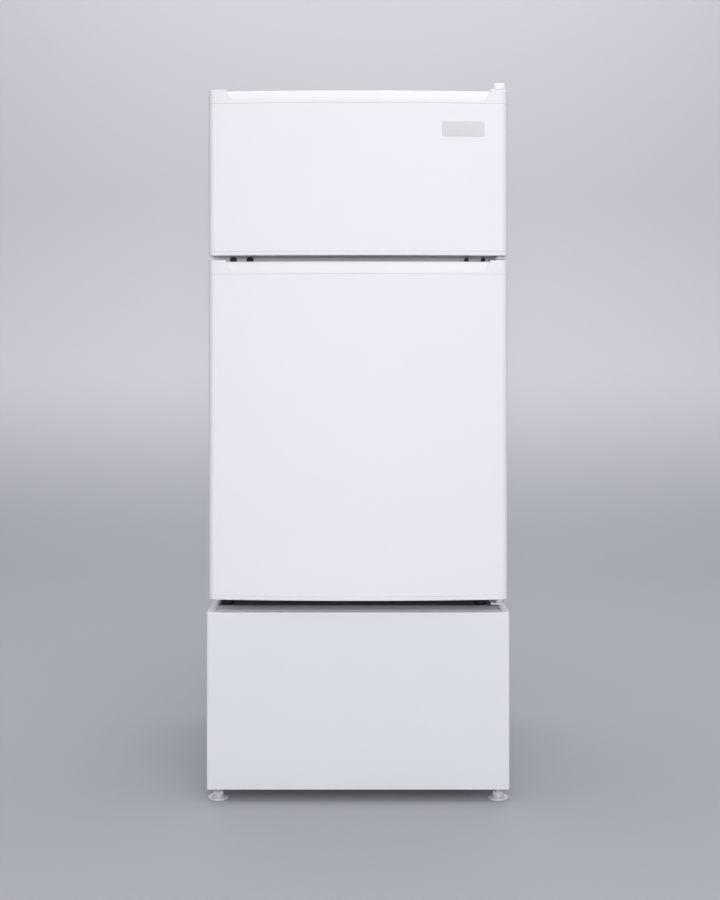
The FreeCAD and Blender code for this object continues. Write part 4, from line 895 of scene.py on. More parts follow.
# Electroplated zinc with a clear passivate: a bluish silver, satin where it was pressed.
PLATED_ZINC = Finish("zinc-plated pressing", "hinge_steel", "#E3E6EA", "#D6DADF",
                     0.38, 0.08, 1.0, 0.004, metallic=0.3)
# The same plating on turned parts, left bright.
BRIGHT_ZINC = Finish("bright zinc on turned steel", "bright_zinc", "#F4F6FA", "#E8EBF0",
                     0.2, 0.05, 0.6, 0.003, Texture.BRUSHED, 0.45)
# Steel screws blackened in a bath: a dark satin grey, lighter where a driver has rubbed.
DARK_SCREW = Finish("blackened steel", "screw_steel", "#636467", "#515255",
                    0.38, 0.08, 0.8, 0.004, metallic=0.7)
# Moulded polyamide: near black, with the dull grain of its mould.
DARK_PLASTIC = Finish("black moulded polyamide", "black_plastic", "#1B1C1E", "#222325",
                      0.5, 0.08, 0.9)
# The same from a polished mould, which the plugs' domes need to catch the light.
PLUG_PLASTIC = Finish("black moulded plug", "dark_plug", "#2A2B2E", "#333437", 0.22, 0.05, 0.9)
# Unfilled nylon: waxy and off-white.
NYLON = Finish("natural nylon", "nylon", "#E9E9E8", "#E0E0DF", 0.4, 0.06, 1.0, 0.006)
# Black rubber, dull all over.
RUBBER = Finish("moulded rubber", "mount_rubber", "#19191A", "#232324", 0.75, 0.08, 0.7, 0.02)
# Stove enamel over drawn steel: deep black and glossy.
BLACK_ENAMEL = Finish("black stove enamel", "compressor_paint", "#0E0E10", "#151517",
                      0.22, 0.06, 7.0, 0.02, Texture.PEEL, coat=0.3)
# A dipped coat of the same black, thinner and duller.
BLACK_TUBE = Finish("black enamel on tube and wire", "condenser_paint", "#131315", "#1C1C1E",
                    0.42, 0.08, 1.2)
# Drawn copper tube, dulled by handling and warm where it was brazed.
COPPER = Finish("drawn copper tube", "copper", "#B87452", "#9C5E40", 0.32, 0.1, 6.0, metallic=1.0)
# Aluminium sheet with the fine lines of the rolls, dulled by its oxide.
ROLLED_ALUMINIUM = Finish("rolled aluminium", "cold_plate", "#DFE2E4", "#D0D4D7",
                          0.4, 0.08, 1.0, 0.004, Texture.BRUSHED, 0.5)
# Aluminium brushed from side to side and lacquered.
PLATE_METAL = Finish("brushed aluminium plate", "plate_metal", "#E2E3E7", "#D6D8DC",
                     0.34, 0.06, 0.7, 0.004, Texture.BRUSHED, 0.6)
# Foam blown in place: dull, yellowish and uneven.
FOAM = Finish("blown polyurethane", "foam", "#E0CF9A", "#D3BF85", 0.8, 0.05, 2.0, 0.3)
# Clear polystyrene is a little blue in its thickness and bright at its edges.
CLEAR_PLASTIC = Finish("clear moulded polystyrene", "clear_plastic", "#F7FAFC", "#F2F6F9",
                       0.07, 0.03, 12.0, 0.02, Texture.PEEL, ior=1.59, transmission=0.9)
# Float glass is green in its thickness and flat to the eye.
FLOAT_GLASS = Finish("float glass", "shelf_glass", "#DDEFE8", "#D6EBE3",
                     0.04, 0.02, texture=Texture.PLAIN, ior=1.52, transmission=0.93)
# The bulb's glass is thin and warm from the lamp's colour.
BULB_GLASS = Finish("thin bulb glass", "bulb_glass", "#FFF6E4", "#FFF2D8",
                    0.12, 0.04, texture=Texture.PLAIN, ior=1.45, transmission=0.8)


# The dressed frame


@dataclass
class Dresser:
    """What every sub-assembly shares: the frame's nodes and the ways to finish a piece."""

    frame: dict

    def node(self, name: str) -> Thing:
        """The frame's object of a node."""
        return self.frame["nodes"][name]

    def body_of(self, name: str) -> str:
        """The body that a node belongs to."""
        bodies = self.frame["record"]["behaviour"]["bodies"]
        return next(body for body, members in bodies.items() if name in members)

    def box(self, name: str) -> tuple[Vector, Vector]:
        """A node's lowest and highest corners."""
        low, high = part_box(name)
        return Vector(low) / MM, Vector(high) / MM

    def painted(self, piece: Thing, finish: Finish) -> None:
        """Gives a piece one finish all over."""
        piece.data.materials.clear()
        piece.data.materials.append(finish.material())

    def keep(self, name: str, finish: Finish) -> None:
        """Gives a frame node its finish and keeps its shape."""
        self.painted(self.node(name), finish)
        LOG.info("kept %s as %s", name, finish.name)

    def finished(self, piece: Thing, finish: Finish, body: str) -> None:
        """Gives a new piece its finish and its body.

        Args:
            piece: the new piece.
            finish: its finish.
            body: the body that it rides on.
        """
        self.painted(piece, finish)
        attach(piece, body)

    def stand_in(self, piece: Thing, finish: Finish, *names: str) -> None:
        """Lets a piece stand for one or more nodes of one body.

        Args:
            piece: the new piece.
            finish: its finish.
            names: the nodes.
        """
        self.finished(piece, finish, self.body_of(names[0]))
        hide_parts(*names)
        LOG.info("made %s for %s as %s", piece.name, ", ".join(names), finish.name)

    def extra(self, piece: Thing, finish: Finish) -> None:
        """Adds a piece of the cabinet that no node stands for."""
        self.finished(piece, finish, "cabinet")
        LOG.info("added %s as %s", piece.name, finish.name)

    def soften(self, name: str, finish: Finish, radius: float, steps: int = 2) -> None:
        """Stands a copy with small round edges in a node's place.

        Args:
            name: the node.
            finish: the finish of its whole surface.
            radius: the width of the rounding.
            steps: segments across each rounded edge.
        """
        shape = bmesh.new()
        shape.from_mesh(self.node(name).data)
        bmesh.ops.remove_doubles(shape, verts=shape.verts, dist=0.01 * MM)
        bmesh.ops.dissolve_limit(shape, angle_limit=math.radians(0.5), verts=shape.verts,
                                 edges=shape.edges)
        piece = solid(name + "_shape", shape)
        bevel = piece.modifiers.new("round edges", "BEVEL")
        bevel.width = radius * MM
        bevel.segments = steps
        bevel.limit_method = "ANGLE"
        bevel.angle_limit = math.radians(50.0)
        bevel.miter_outer = "MITER_ARC"
        self.stand_in(polished(baked(piece)), finish, name)

    def set_out(self, name: str, template: Thing, spots: Sequence[tuple[Place, str]],
                finish: Finish, *nodes: str, seed: int = 1) -> None:
        """Copies a template to several places as one piece, and removes it.

        Args:
            name: the piece's name.
            template: a shape at the origin whose axis is Z.
            spots: each place, and its direction, a key of AXES.
            finish: the finish of the copies.
            nodes: the nodes that the piece stands for, if any.
            seed: what decides how each copy is turned about its axis.
        """
        base = line_mesh(name + "_spots", [place for place, _ in spots])
        aims = base.attributes.new("aim", "FLOAT_VECTOR", "POINT")
        for number, (_, facing) in enumerate(spots):
            aims.data[number].vector = AXES[facing] @ Vector((0, 0, 1))
        copies = grown(name, set_out_tree(), base, finish, Template=template, Seed=seed)
        bpy.data.objects.remove(template)
        if nodes:
            self.stand_in(copies, finish, *nodes)
        else:
            self.extra(copies, finish)


# Pedestal


@dataclass
class Pedestal(Dresser):
    """The folded steel box, its drop-in top, its back sheet and its levelling feet."""

    sheet: float = 1.2
    corner: float = 3.0
    fold: float = 1.8
    top_rim: float = 14.0
    floor_rim: float = 36.0
    flange: float = 17.0
    hexagon: float = 9.5
    nut_base: float = 7.0
    nut_top: float = 12.8
    stud: float = 4.0
    thread_depth: float = 0.5
    thread_pitch: float = 1.25

    def build(self) -> None:
        """Dresses every pedestal node."""
        self.shell()
        # The deck's finish paints the shade under the cabinet as a darker grey.
        self.soften("pedestal_deck", DECK_COAT_WITH_PAINTED_SHADE, 0.5)
        self.soften("pedestal_back_panel", GALVANISED, 0.3)
        self.soften("pedestal_foot_brackets", PLATED_ZINC, 0.5)
        for end in ("front", "rear"):
            for side in ("left", "right"):
                self.foot(f"pedestal_foot_{end}_{side}")

    def shell(self) -> None:
        """The front and sides as one bent sheet, with its rims turned in."""
        low, high = self.box("pedestal_shell")
        half, sheet, inner = high.x, self.sheet, self.fold - self.sheet
        section = softened([
            (self.floor_rim, low.z, 0.3), (0, low.z, self.fold), (0, high.z, self.fold),
            (self.top_rim, high.z, 0.4), (self.top_rim, high.z - sheet, 0.2),
            (sheet, high.z - sheet, inner), (sheet, low.z + sheet, inner),
            (self.floor_rim, low.z + sheet, 0.3),
        ])
        right = []
        for step in range(9):
            turn = QUARTER * step / 8
            row = []
            for inset, level in section:
                radius, across = max(self.corner - inset, 0.0), max(self.corner, inset)
                row.append((half - across + radius * math.cos(turn),
                            low.y + across - radius * math.sin(turn), level))
            right.append(row)
        right.insert(0, [(half - inset, high.y, level) for inset, level in section])
        left = [[(-x, y, z) for x, y, z in row] for row in right]
        self.stand_in(surface("pedestal_box", left + right[::-1]), PEDESTAL_COAT, "pedestal_shell")

    def foot(self, name: str) -> None:
        """One levelling foot: a pressed flange, a hexagon and a threaded stud.

        Args:
            name: the node.
        """
        low, high = self.box(name)
        x, y, _ = midpoint(low, high)
        wide, base, top = self.flange, self.nut_base, self.nut_top
        flat, core = self.hexagon * math.cos(math.pi / 6), self.stud - self.thread_depth - 0.1
        flange = lathe(name + "_flange", [
            (0, 0, 0), (wide - 1, 0, 0.5), (wide, 0.8, 0.5), (wide, 3.2, 0.9),
            (wide - 2.5, 4.0, 2.0), (flat + 1.5, 4.6, 2.0), (flat - 0.5, base, 0.6), (0, base, 0),
        ], (x, y, 0), steps=64)
        corners = [math.pi * (step / 3 + 1 / 6) for step in range(6)]
        rows = []
        for inset, level in ((3.0, base), (0.9, base), (0, base + 0.8), (0, top - 0.9),
                             (0.9, top), (3.0, top)):
            reach = self.hexagon - inset
            rows.append([(x + reach * math.cos(turn), y + reach * math.sin(turn), level)
                         for turn in corners])
        nut = surface(name + "_hexagon", rows, angle=20)
        stud = lathe(name + "_core", [
            (0, top - 1, 0), (core, top - 1, 0), (core, high.z - 1.5, 0.4),
            (core - 1, high.z, 0.3), (0, high.z, 0),
        ], (x, y, 0), steps=24)
        length = high.z - top - 2
        ridge = grown(name + "_thread", thread_tree(), None, BRIGHT_ZINC,
                      Radius=(self.stud - self.thread_depth) * MM, Ridge=self.thread_depth * MM,
                      Turns=length / self.thread_pitch, Length=length * MM,
                      Start=Vector((x, y, top)) * MM)
        self.stand_in(merged(name + "_turned", flange, nut, stud, ridge), BRIGHT_ZINC, name)


# Cabinet


@dataclass
class Cabinet(Dresser):
    """The painted wrapper, the rail between the doors, the pan and the back."""

    plug_head: float = 6.0
    foot_radius: float = 11.0
    gland_radius: float = 11.4
    lead_radius: float = 4.0
    screw_edge: float = 9.0
    screw_pitch: float = 74.0

    def build(self) -> None:
        """Dresses the cabinet's outer nodes."""
        self.soften("cabinet_wrapper", CABINET_ENAMEL, 0.4)
        self.soften("crossrail", CABINET_ENAMEL, 0.3)
        self.soften("cabinet_base_pan", GALVANISED, 0.3)
        self.soften("cabinet_back_panel", GALVANISED, 0.3)
        self.keep("insulation_foam", FOAM)
        self.plugs()
        self.feet()
        self.gland()
        for name in ("cabinet_back_panel", "pedestal_back_panel"):
            self.back_screws(name)

    def plugs(self) -> None:
        """Two snap-in plugs with domed heads in the rail's spare holes."""
        low, high = self.box("hinge_hole_plugs")
        head = self.plug_head
        template = lathe("plug_template", [
            (0, -6, 0), (2.6, -6, 0.5), (3.7, -3.5, 1), (3.4, 0, 0), (head - 0.1, 0, 0.2),
            (head, 0.35, 0.3), (head - 1.4, 1.15, 1.2), (0, 1.2, 0),
        ], steps=32)
        face, level = self.box("crossrail")[0].y, midpoint(low, high)[2]
        spots = [((x, face, level), "front") for x in (low.x + head, high.x - head)]
        self.set_out("rail_plugs", template, spots, PLUG_PLASTIC, "hinge_hole_plugs")

    def feet(self) -> None:
        """Four short moulded feet under the cabinet."""
        low, high = self.box("cabinet_feet")
        tall, radius = high.z - low.z, self.foot_radius
        template = lathe("foot_template", [
            (0, 0, 0), (radius, 0, 1.0), (radius, tall * 0.45, 1.5), (radius * 0.8, tall, 0.4),
            (0, tall, 0),
        ], steps=36)
        spots = [((x, y, low.z), "up") for x in (low.x + radius, high.x - radius)
                 for y in (low.y + radius, high.y - radius)]
        self.set_out("cabinet_feet_moulded", template, spots, DARK_PLASTIC, "cabinet_feet")

    def gland(self) -> None:
        """The bush in the pan's tab, with a soft lip at both ends."""
        wide, bore = self.gland_radius, self.lead_radius
        bush = lathe("lead_bush", [
            (bore, -3.5, 0), (wide, -3.5, 0.8), (wide, -1, 0.3), (8, -1, 0.2), (8, 1, 0.2),
            (wide, 1, 0.3), (wide, 3.5, 0.8), (bore, 3.5, 0.5),
        ], midpoint(*self.box("cord_gland")), "back", 40, ring=True)
        self.stand_in(bush, DARK_PLASTIC, "cord_gland")

    def back_screws(self, name: str) -> None:
        """Small screws round the edge of a back panel.

        Args:
            name: the panel's node.
        """
        low, high = self.box(name)
        low_x, high_x = low.x + self.screw_edge, high.x - self.screw_edge
        low_z, high_z = low.z + self.screw_edge, high.z - self.screw_edge
        across = round((high_x - low_x) / self.screw_pitch / 2)
        upward = max(round((high_z - low_z) / self.screw_pitch / 2), 2)
        places = {(low_x + (high_x - low_x) * step / across, z) for step in range(across + 1)
                  for z in (low_z, high_z)}
        places |= {(x, low_z + (high_z - low_z) * step / upward) for step in range(upward + 1)
                   for x in (low_x, high_x)}
        spots = [((x, high.y, z), "back") for x, z in sorted(places)]
        self.set_out(name + "_screws", screw_template(3.2, 1.6, 1.4, 0.8), spots, PLATED_ZINC,
                     seed=4)


# Hinges


@dataclass
class Hinges(Dresser):
    """The three brackets on the right, their bushes, screws and the top cover."""

    pin: float = 4.0
    play: float = 0.08
    bush: float = 5.5
    door_gap: float = 0.3
    sheet: float = 2.5
    cover_wall: float = 1.5

    def build(self) -> None:
        """Dresses the hinge nodes."""
        for name in ("top_hinge_bracket", "bottom_hinge_bracket", "middle_hinge_bracket"):
            self.soften(name, PLATED_ZINC, 0.5, 3)
        self.bushes()
        self.screws()
        self.cover()

    def bushes(self) -> None:
        """The nylon washers that each door turns on."""
        leaf, half, gap = midpoint(*self.box("crossrail"))[2], self.sheet / 2, self.door_gap
        spans = (
            (self.box("freezer_door_top_cap")[1].z + gap, self.box("cabinet_wrapper")[1].z),
            (leaf + half, self.box("freezer_door_bottom_cap")[0].z - gap),
            (self.box("fridge_door_top_cap")[1].z + gap, leaf - half),
            (self.box("cabinet_base_pan")[0].z, self.box("fridge_door_bottom_cap")[0].z - gap),
        )
        bore, wide = self.pin + self.play, self.bush
        rings = [lathe("bush", [(bore, start, 0.2), (wide, start, 0.35), (wide, end, 0.35),
                                (bore, end, 0.2)], (*HINGE_AXIS, 0), steps=40, soft=2, ring=True)
                 for start, end in spans]
        self.stand_in(merged("hinge_washers", *rings), NYLON, "hinge_bushes")

    def screws(self) -> None:
        """Six cross-recess screws: two up, two down and two to the front."""
        left = self.box("hinge_screws")[0].x
        rail, wrapper = self.box("crossrail"), self.box("cabinet_wrapper")
        front, top = wrapper[0].y, wrapper[1].z + self.sheet
        floor = self.box("cabinet_base_pan")[0].z - self.sheet
        face, middle = rail[0].y - self.sheet, midpoint(*rail)[2]
        x = HINGE_AXIS[0] - 4
        spots = [((x, front + 14, top), "up"), ((x, front + 42, top), "up"),
                 ((x, front + 11.2, floor), "down"), ((x, front + 33.6, floor), "down"),
                 ((left + 4, face, middle), "front"), ((left + 32, face, middle), "front")]
        self.set_out("hinge_bolts", screw_template(4.0, 2.2, 2.2, 3.4), spots, DARK_SCREW,
                     "hinge_screws", seed=7)

    def cover(self) -> None:
        """The snap-on cap over the top hinge, a shell with soft edges."""
        low, high = self.box("top_hinge_cover")
        outline = softened([(self.cover_wall, low.z, 0.2), (0, low.z, 0.2), (0, high.z, 2.6),
                            (6, high.z, 0)], closed=False)
        rings = [(*drawn_in(low, high, inset, 5, 1), level) for inset, level in outline]
        self.stand_in(stacked("hinge_cap", "up", rings), CAP_PLASTIC, "top_hinge_cover")


# Doors


@dataclass
class DoorPlan:
    """A door's outline seen from above: a shallow bow between two round edges."""

    half: float
    nose: float
    bow: float = 12.0
    corner: float = 12.0

    @property
    def radius(self) -> float:
        """The bow's radius."""
        return (self.half ** 2 + self.bow ** 2) / (2 * self.bow)

    @property
    def centre(self) -> float:
        """How far back the bow's centre is."""
        return self.nose + self.radius

    @property
    def corner_place(self) -> Point:
        """The middle of the right round edge."""
        across = self.half - self.corner
        return across, self.centre - math.sqrt((self.radius - self.corner) ** 2 - across ** 2)

    @property
    def meeting(self) -> float:
        """The angle from straight ahead at which the bow meets the right round edge."""
        across, along = self.corner_place
        return math.atan2(across, self.centre - along)

    def front(self, across: float) -> float:
        """The place of the face at a distance from the middle.

        Args:
            across: how far to the side.

        Returns:
            Its Y.
        """
        near, along = self.corner_place
        side = abs(across)
        if side <= self.radius * math.sin(self.meeting):
            return self.centre - math.sqrt(self.radius ** 2 - side ** 2)
        return along - math.sqrt(max(self.corner ** 2 - (side - near) ** 2, 0.0))

    def turns(self, even: bool) -> list[float]:
        """The angles at which the right round edge is sampled, outward.

        Args:
            even: whether they are evenly spaced, or closer together towards the side.

        Returns:
            The angles from straight ahead.
        """
        rest = QUARTER - self.meeting
        return [self.meeting + (rest * step / 12 if even
                                else rest * math.sin(QUARTER * step / 12)) for step in range(13)]

    def stations(self) -> list[float]:
        """The places across the right round edge where the face is sampled, outward."""
        near = self.corner_place[0]
        return [near + self.corner * math.sin(turn) for turn in self.turns(False)]

    def outline(self, back: float, inset: float = 0.0) -> list[Point]:
        """The whole outline from the left rear to the right rear.

        Args:
            back: the Y of the rear.
            inset: how far it is drawn in at the front and sides.

        Returns:
            Its points.
        """
        near, along = self.corner_place
        small, large = self.corner - inset, self.radius - inset
        right = [(near + small * math.sin(turn), along - small * math.cos(turn))
                 for turn in self.turns(True)]
        right.append((self.half - inset, back))
        bow = []
        for step in range(-23, 24):
            turn = self.meeting * (step / 24)
            bow.append((large * math.sin(turn), self.centre - large * math.cos(turn)))
        return [(-x, y) for x, y in reversed(right)] + bow + right


@dataclass
class Door(Dresser):
    """One bowed door: its skin, caps, seal, liner and racks."""

    kind: str = "fridge"
    racks: tuple[str, ...] = ()
    frame_low: float = 363.0
    frame_high: float = 868.05
    sheet: float = 0.8
    grip_half: float = 216.0
    grip_slant: float = 8.0
    grip_dip: float = 2.2
    slope_height: float = 12.0
    slope_run: float = 5.0
    lip: float = 3.0
    cap_edge: float = 1.7
    cap_foot_edge: float = 1.8
    pocket_half: float = 190.0
    pocket_back: float = -222.0
    pocket_floor: float = 20.5
    seam: float = 1.1
    liner_sheet: float = 1.5
    frame_half: float = 203.0
    frame_wall: float = 16.0
    foam_gap: float = 2.0
    bore: float = 4.08
    rack_wall: float = 2.0
    rack_low: float = 38.0
    rack_post: float = 16.0

    def build(self) -> None:
        """Dresses the door's nodes."""
        low, high = self.box(self.named("skin"))
        self.plan = DoorPlan(high.x, low.y)
        self.skin(low, high)
        self.top_cap()
        self.bottom_cap(low, high)
        self.liner()
        self.gasket()
        self.foam(low, high)
        for rack in self.racks:
            self.rack(rack)

    def named(self, part: str) -> str:
        """The node's name for a part of this door."""
        return f"{self.kind}_door_{part}"

    def levels(self, low: float, high: float, lower_edge: float) -> list[Point]:
        """The levels at which a skin or cap with two round edges is sampled.

        Args:
            low: its lower end.
            high: its upper end, whose edge is as round as the seam.
            lower_edge: the radius of its lower edge.

        Returns:
            Each level, and how far the outline is drawn in there.
        """
        return ([(low + rise, inset) for inset, rise in round_edge(lower_edge, 5)]
                + [(high - rise, inset) for inset, rise in reversed(round_edge(self.seam, 5))])

    def skin(self, low: Vector, high: Vector) -> None:
        """The painted sheet, its upper and lower edges rolled in towards the caps.

        Args:
            low: the node's lowest corner.
            high: its highest corner.
        """
        rows = []
        for level, inset in self.levels(low.z, high.z, self.seam):
            outer = self.plan.outline(high.y, inset)
            inner = self.plan.outline(high.y, max(self.sheet, inset + 0.15))
            rows.append([(x, y, level) for x, y in outer + inner[::-1]])
        self.stand_in(surface(self.named("sheet"), rows), DOOR_ENAMEL, self.named("skin"))

    def cap_section(self, across: float, low: float, top: float, back: float) -> list[Point]:
        """The top cap cut at one distance from the middle.

        Args:
            across: how far to the side.
            low: the cap's lower level.
            top: its upper level.
            back: its rear.

        Returns:
            The outline, as Y and Z.
        """
        side, front, edge = abs(across), self.plan.front(across), self.cap_edge
        over = max(side - (self.plan.half - edge), 0.0)
        high = top - (edge - math.sqrt(max(edge ** 2 - over ** 2, 0.0)))
        inside = ease(self.grip_half + 0.9, self.grip_half - 0.9, side)
        slant = clamped((self.grip_half - side) / self.grip_slant)
        pocket = ease(self.pocket_half + 0.5, self.pocket_half - 3.0, side)
        lip_top = high - self.grip_dip * inside
        start = ((top - 5) * (1 - inside)
                 + (top - self.grip_dip - slant * self.slope_height) * inside)
        run = self.slope_run * inside
        floor = lip_top - (self.pocket_floor - self.grip_dip) * pocket
        wall = front + run + self.lip
        rear = max(self.pocket_back, wall + 0.5)
        return softened([
            (back, low, 0), (front, low, self.seam), (front, start, 1.3),
            (front + run * (1 - slant), start, 0.9), (front + run, lip_top, 1.4),
            (wall, lip_top, 1.1), (wall, floor, 1.8), (rear, floor, 2.4), (rear, lip_top, 1.4),
            (back, lip_top, 0.9),
        ])

    def top_cap(self) -> None:
        """The moulded cap: a horn at each end, a sloped lip between and the finger pocket."""
        name = self.named("top_cap")
        low, high = self.box(name)
        grip, pocket = self.grip_half, self.pocket_half
        close = [offset * 0.3 for offset in range(-4, 5)]
        right = self.plan.stations()
        right += [grip + offset for offset in close]
        right += [grip - self.grip_slant * share for share in (0.2, 0.35, 0.5, 0.65, 0.8)]
        right += [grip - self.grip_slant + offset for offset in close]
        right += [pocket + offset * 0.4 for offset in range(-9, 3)]
        right += [pocket * share for share in (0.95, 0.88, 0.8, 0.7, 0.6, 0.5, 0.4, 0.3, 0.2,
                                               0.1, 0.0)]
        places = sorted({round(place, 4) for x in right for place in (x, -x)})
        rows = [[(x, y, z) for y, z in self.cap_section(x, low.z, high.z, high.y)]
                for x in places]
        cap = bored(surface(name + "_moulded", rows), self.bore, high.z - 13, high.z + 4,
                    [HINGE_AXIS])
        self.stand_in(cap, CAP_PLASTIC, name)

    def bottom_cap(self, skin_low: Vector, skin_high: Vector) -> None:
        """The moulded strip under the skin, with its lower edge rounded.

        Args:
            skin_low: the skin's lowest corner.
            skin_high: its highest corner.
        """
        name = self.named("bottom_cap")
        low, top = self.box(name)[0].z, skin_low.z
        rows = [[(x, y, level) for x, y in self.plan.outline(skin_high.y, inset)]
                for level, inset in self.levels(low, top, self.cap_foot_edge)]
        cap = bored(surface(name + "_moulded", rows), self.bore, low - 4, top + 4, [HINGE_AXIS])
        self.stand_in(cap, CAP_PLASTIC, name)

    def rim(self, inset: float) -> tuple[Point, Point, float]:
        """The outline of the liner's raised frame, drawn in."""
        half = self.frame_half
        return drawn_in((-half, self.frame_low), (half, self.frame_high), inset, 20, 5)

    def liner(self) -> None:
        """The drawn inner panel with its raised frame, soft at every turn."""
        low, high = self.box(self.named("liner"))
        sheet, top, wall = low.y + self.liner_sheet, high.y, self.frame_wall
        edge = softened([(12, low.y, 0), (0, low.y, 0.5), (0, sheet, 0.7), (6, sheet, 0)],
                        closed=False)
        section = softened([
            (-6, sheet, 0), (0, sheet, 4), (1.2, top, 5), (wall - 1.2, top, 5), (wall, sheet, 6),
            (wall + 20, sheet, 0),
        ], steps=6, closed=False)
        rings = [(*drawn_in(low.xz, high.xz, inset, 6, 1), level) for inset, level in edge]
        rings += [(*self.rim(inset), level) for inset, level in section]
        piece = stacked(self.named("liner_drawn"), "front", rings, steps=8)
        self.stand_in(piece, LINER_PLASTIC, self.named("liner"))

    def foam(self, low: Vector, high: Vector) -> None:
        """The foam behind the skin and inside the liner's raised frame.

        Args:
            low: the skin's lowest corner.
            high: its highest corner.
        """
        top = self.box(self.named("liner"))[1].y - self.foam_gap
        back, near, far = high.y - 0.3, self.foam_gap, self.frame_wall - self.foam_gap
        outline = self.plan.outline(back, self.sheet + 0.15)
        slab = surface("foam_slab", [[(x, y, level) for x, y in outline]
                                     for level in (low.z + 0.3, high.z - 0.3)])
        section = softened([(near, back, 0), (near + 1, top, 4), (far - 1, top, 4),
                            (far, back, 0)])
        rim = surface("foam_rim", [[(x, level, z) for x, z in round_rect(*self.rim(inset), 8)]
                                   for inset, level in section], along=True, ends=False)
        self.stand_in(merged(self.named("foam_fill"), slab, rim), FOAM, self.named("foam"))

    def gasket(self) -> None:
        """The seal: a foot in the door, a soft bellows, and a magnet's tube at the cabinet."""
        name = self.named("gasket")
        low, high = self.box(name)
        deep, inset = high.y - low.y, 6.0
        side = [(0, 6.0, 0.6), (1.4, 6.0, 0.6), (1.8, 4.4, 0.5), (3.0, 5.4, 0.6),
                (4.2, 4.0, 0.5), (5.4, 5.2, 0.6), (6.6, 3.6, 0.5), (deep - 3.4, 3.8, 0.6),
                (deep, 3.8, 1.2)]
        profile = softened([*side, *((d, -across, r) for d, across, r in reversed(side))], 2)
        left, right, floor, top = (low.x + inset, high.x - inset, low.z + inset,
                                   high.z - inset)
        route = [(left, low.y, floor), (right, low.y, floor), (right, low.y, top),
                 (left, low.y, top)]
        self.stand_in(swept(name + "_bellows", profile, route, 9.0, GASKET_VINYL, closed=True),
                      GASKET_VINYL, name)

    def rack(self, name: str) -> None:
        """A clear bin with a rolled rim, lower towards the shelves.

        Args:
            name: the node.
        """
        low, high = self.box(name)
        wall, post = self.rack_wall, self.rack_post
        tall = high.z - low.z
        outline = softened([
            (14, low.z, 0), (0, low.z, 4), (0, high.z, 0.7), (wall, high.z, 0.7),
            (wall, low.z + wall, 3), (14, low.z + wall, 0),
        ], closed=False)
        rows = []
        for inset, level in outline:
            rise = clamped((level - low.z - 8) / (tall - 8))
            row = []
            for x, y in round_rect(*drawn_in(low, high, inset, 8, 1), 5, 40):
                opening = (ease(high.y - 9, high.y - 3, y)
                           * ease(high.x - post + 3, high.x - post - 9, abs(x)))
                row.append((x, y, level - (tall - self.rack_low) * opening * rise))
            rows.append(row)
        self.stand_in(surface(name + "_moulded", rows), CLEAR_PLASTIC, name)


@dataclass
class Nameplate(Dresser):
    """The blank plate at the badge place, bent to the door's bow."""

    lift: float = 0.8
    corner: float = 3.0

    def build(self) -> None:
        """Makes the plate."""
        low, high = self.box("blank_nameplate")
        skin_low, skin_high = self.box("freezer_door_skin")
        plan = DoorPlan(skin_high.x, skin_low.y)
        rows = []
        for inset, lift in softened([(0, -0.3, 0), (0, self.lift, 0.35), (12, self.lift, 0)],
                                    closed=False):
            ring = round_rect(*drawn_in(low.xz, high.xz, inset, self.corner, 0.3), 6, 10)
            rows.append([(x, plan.front(x) - lift, z) for x, z in ring])
        self.stand_in(surface("blank_plate", rows), PLATE_METAL, "blank_nameplate")


# Inside the compartments


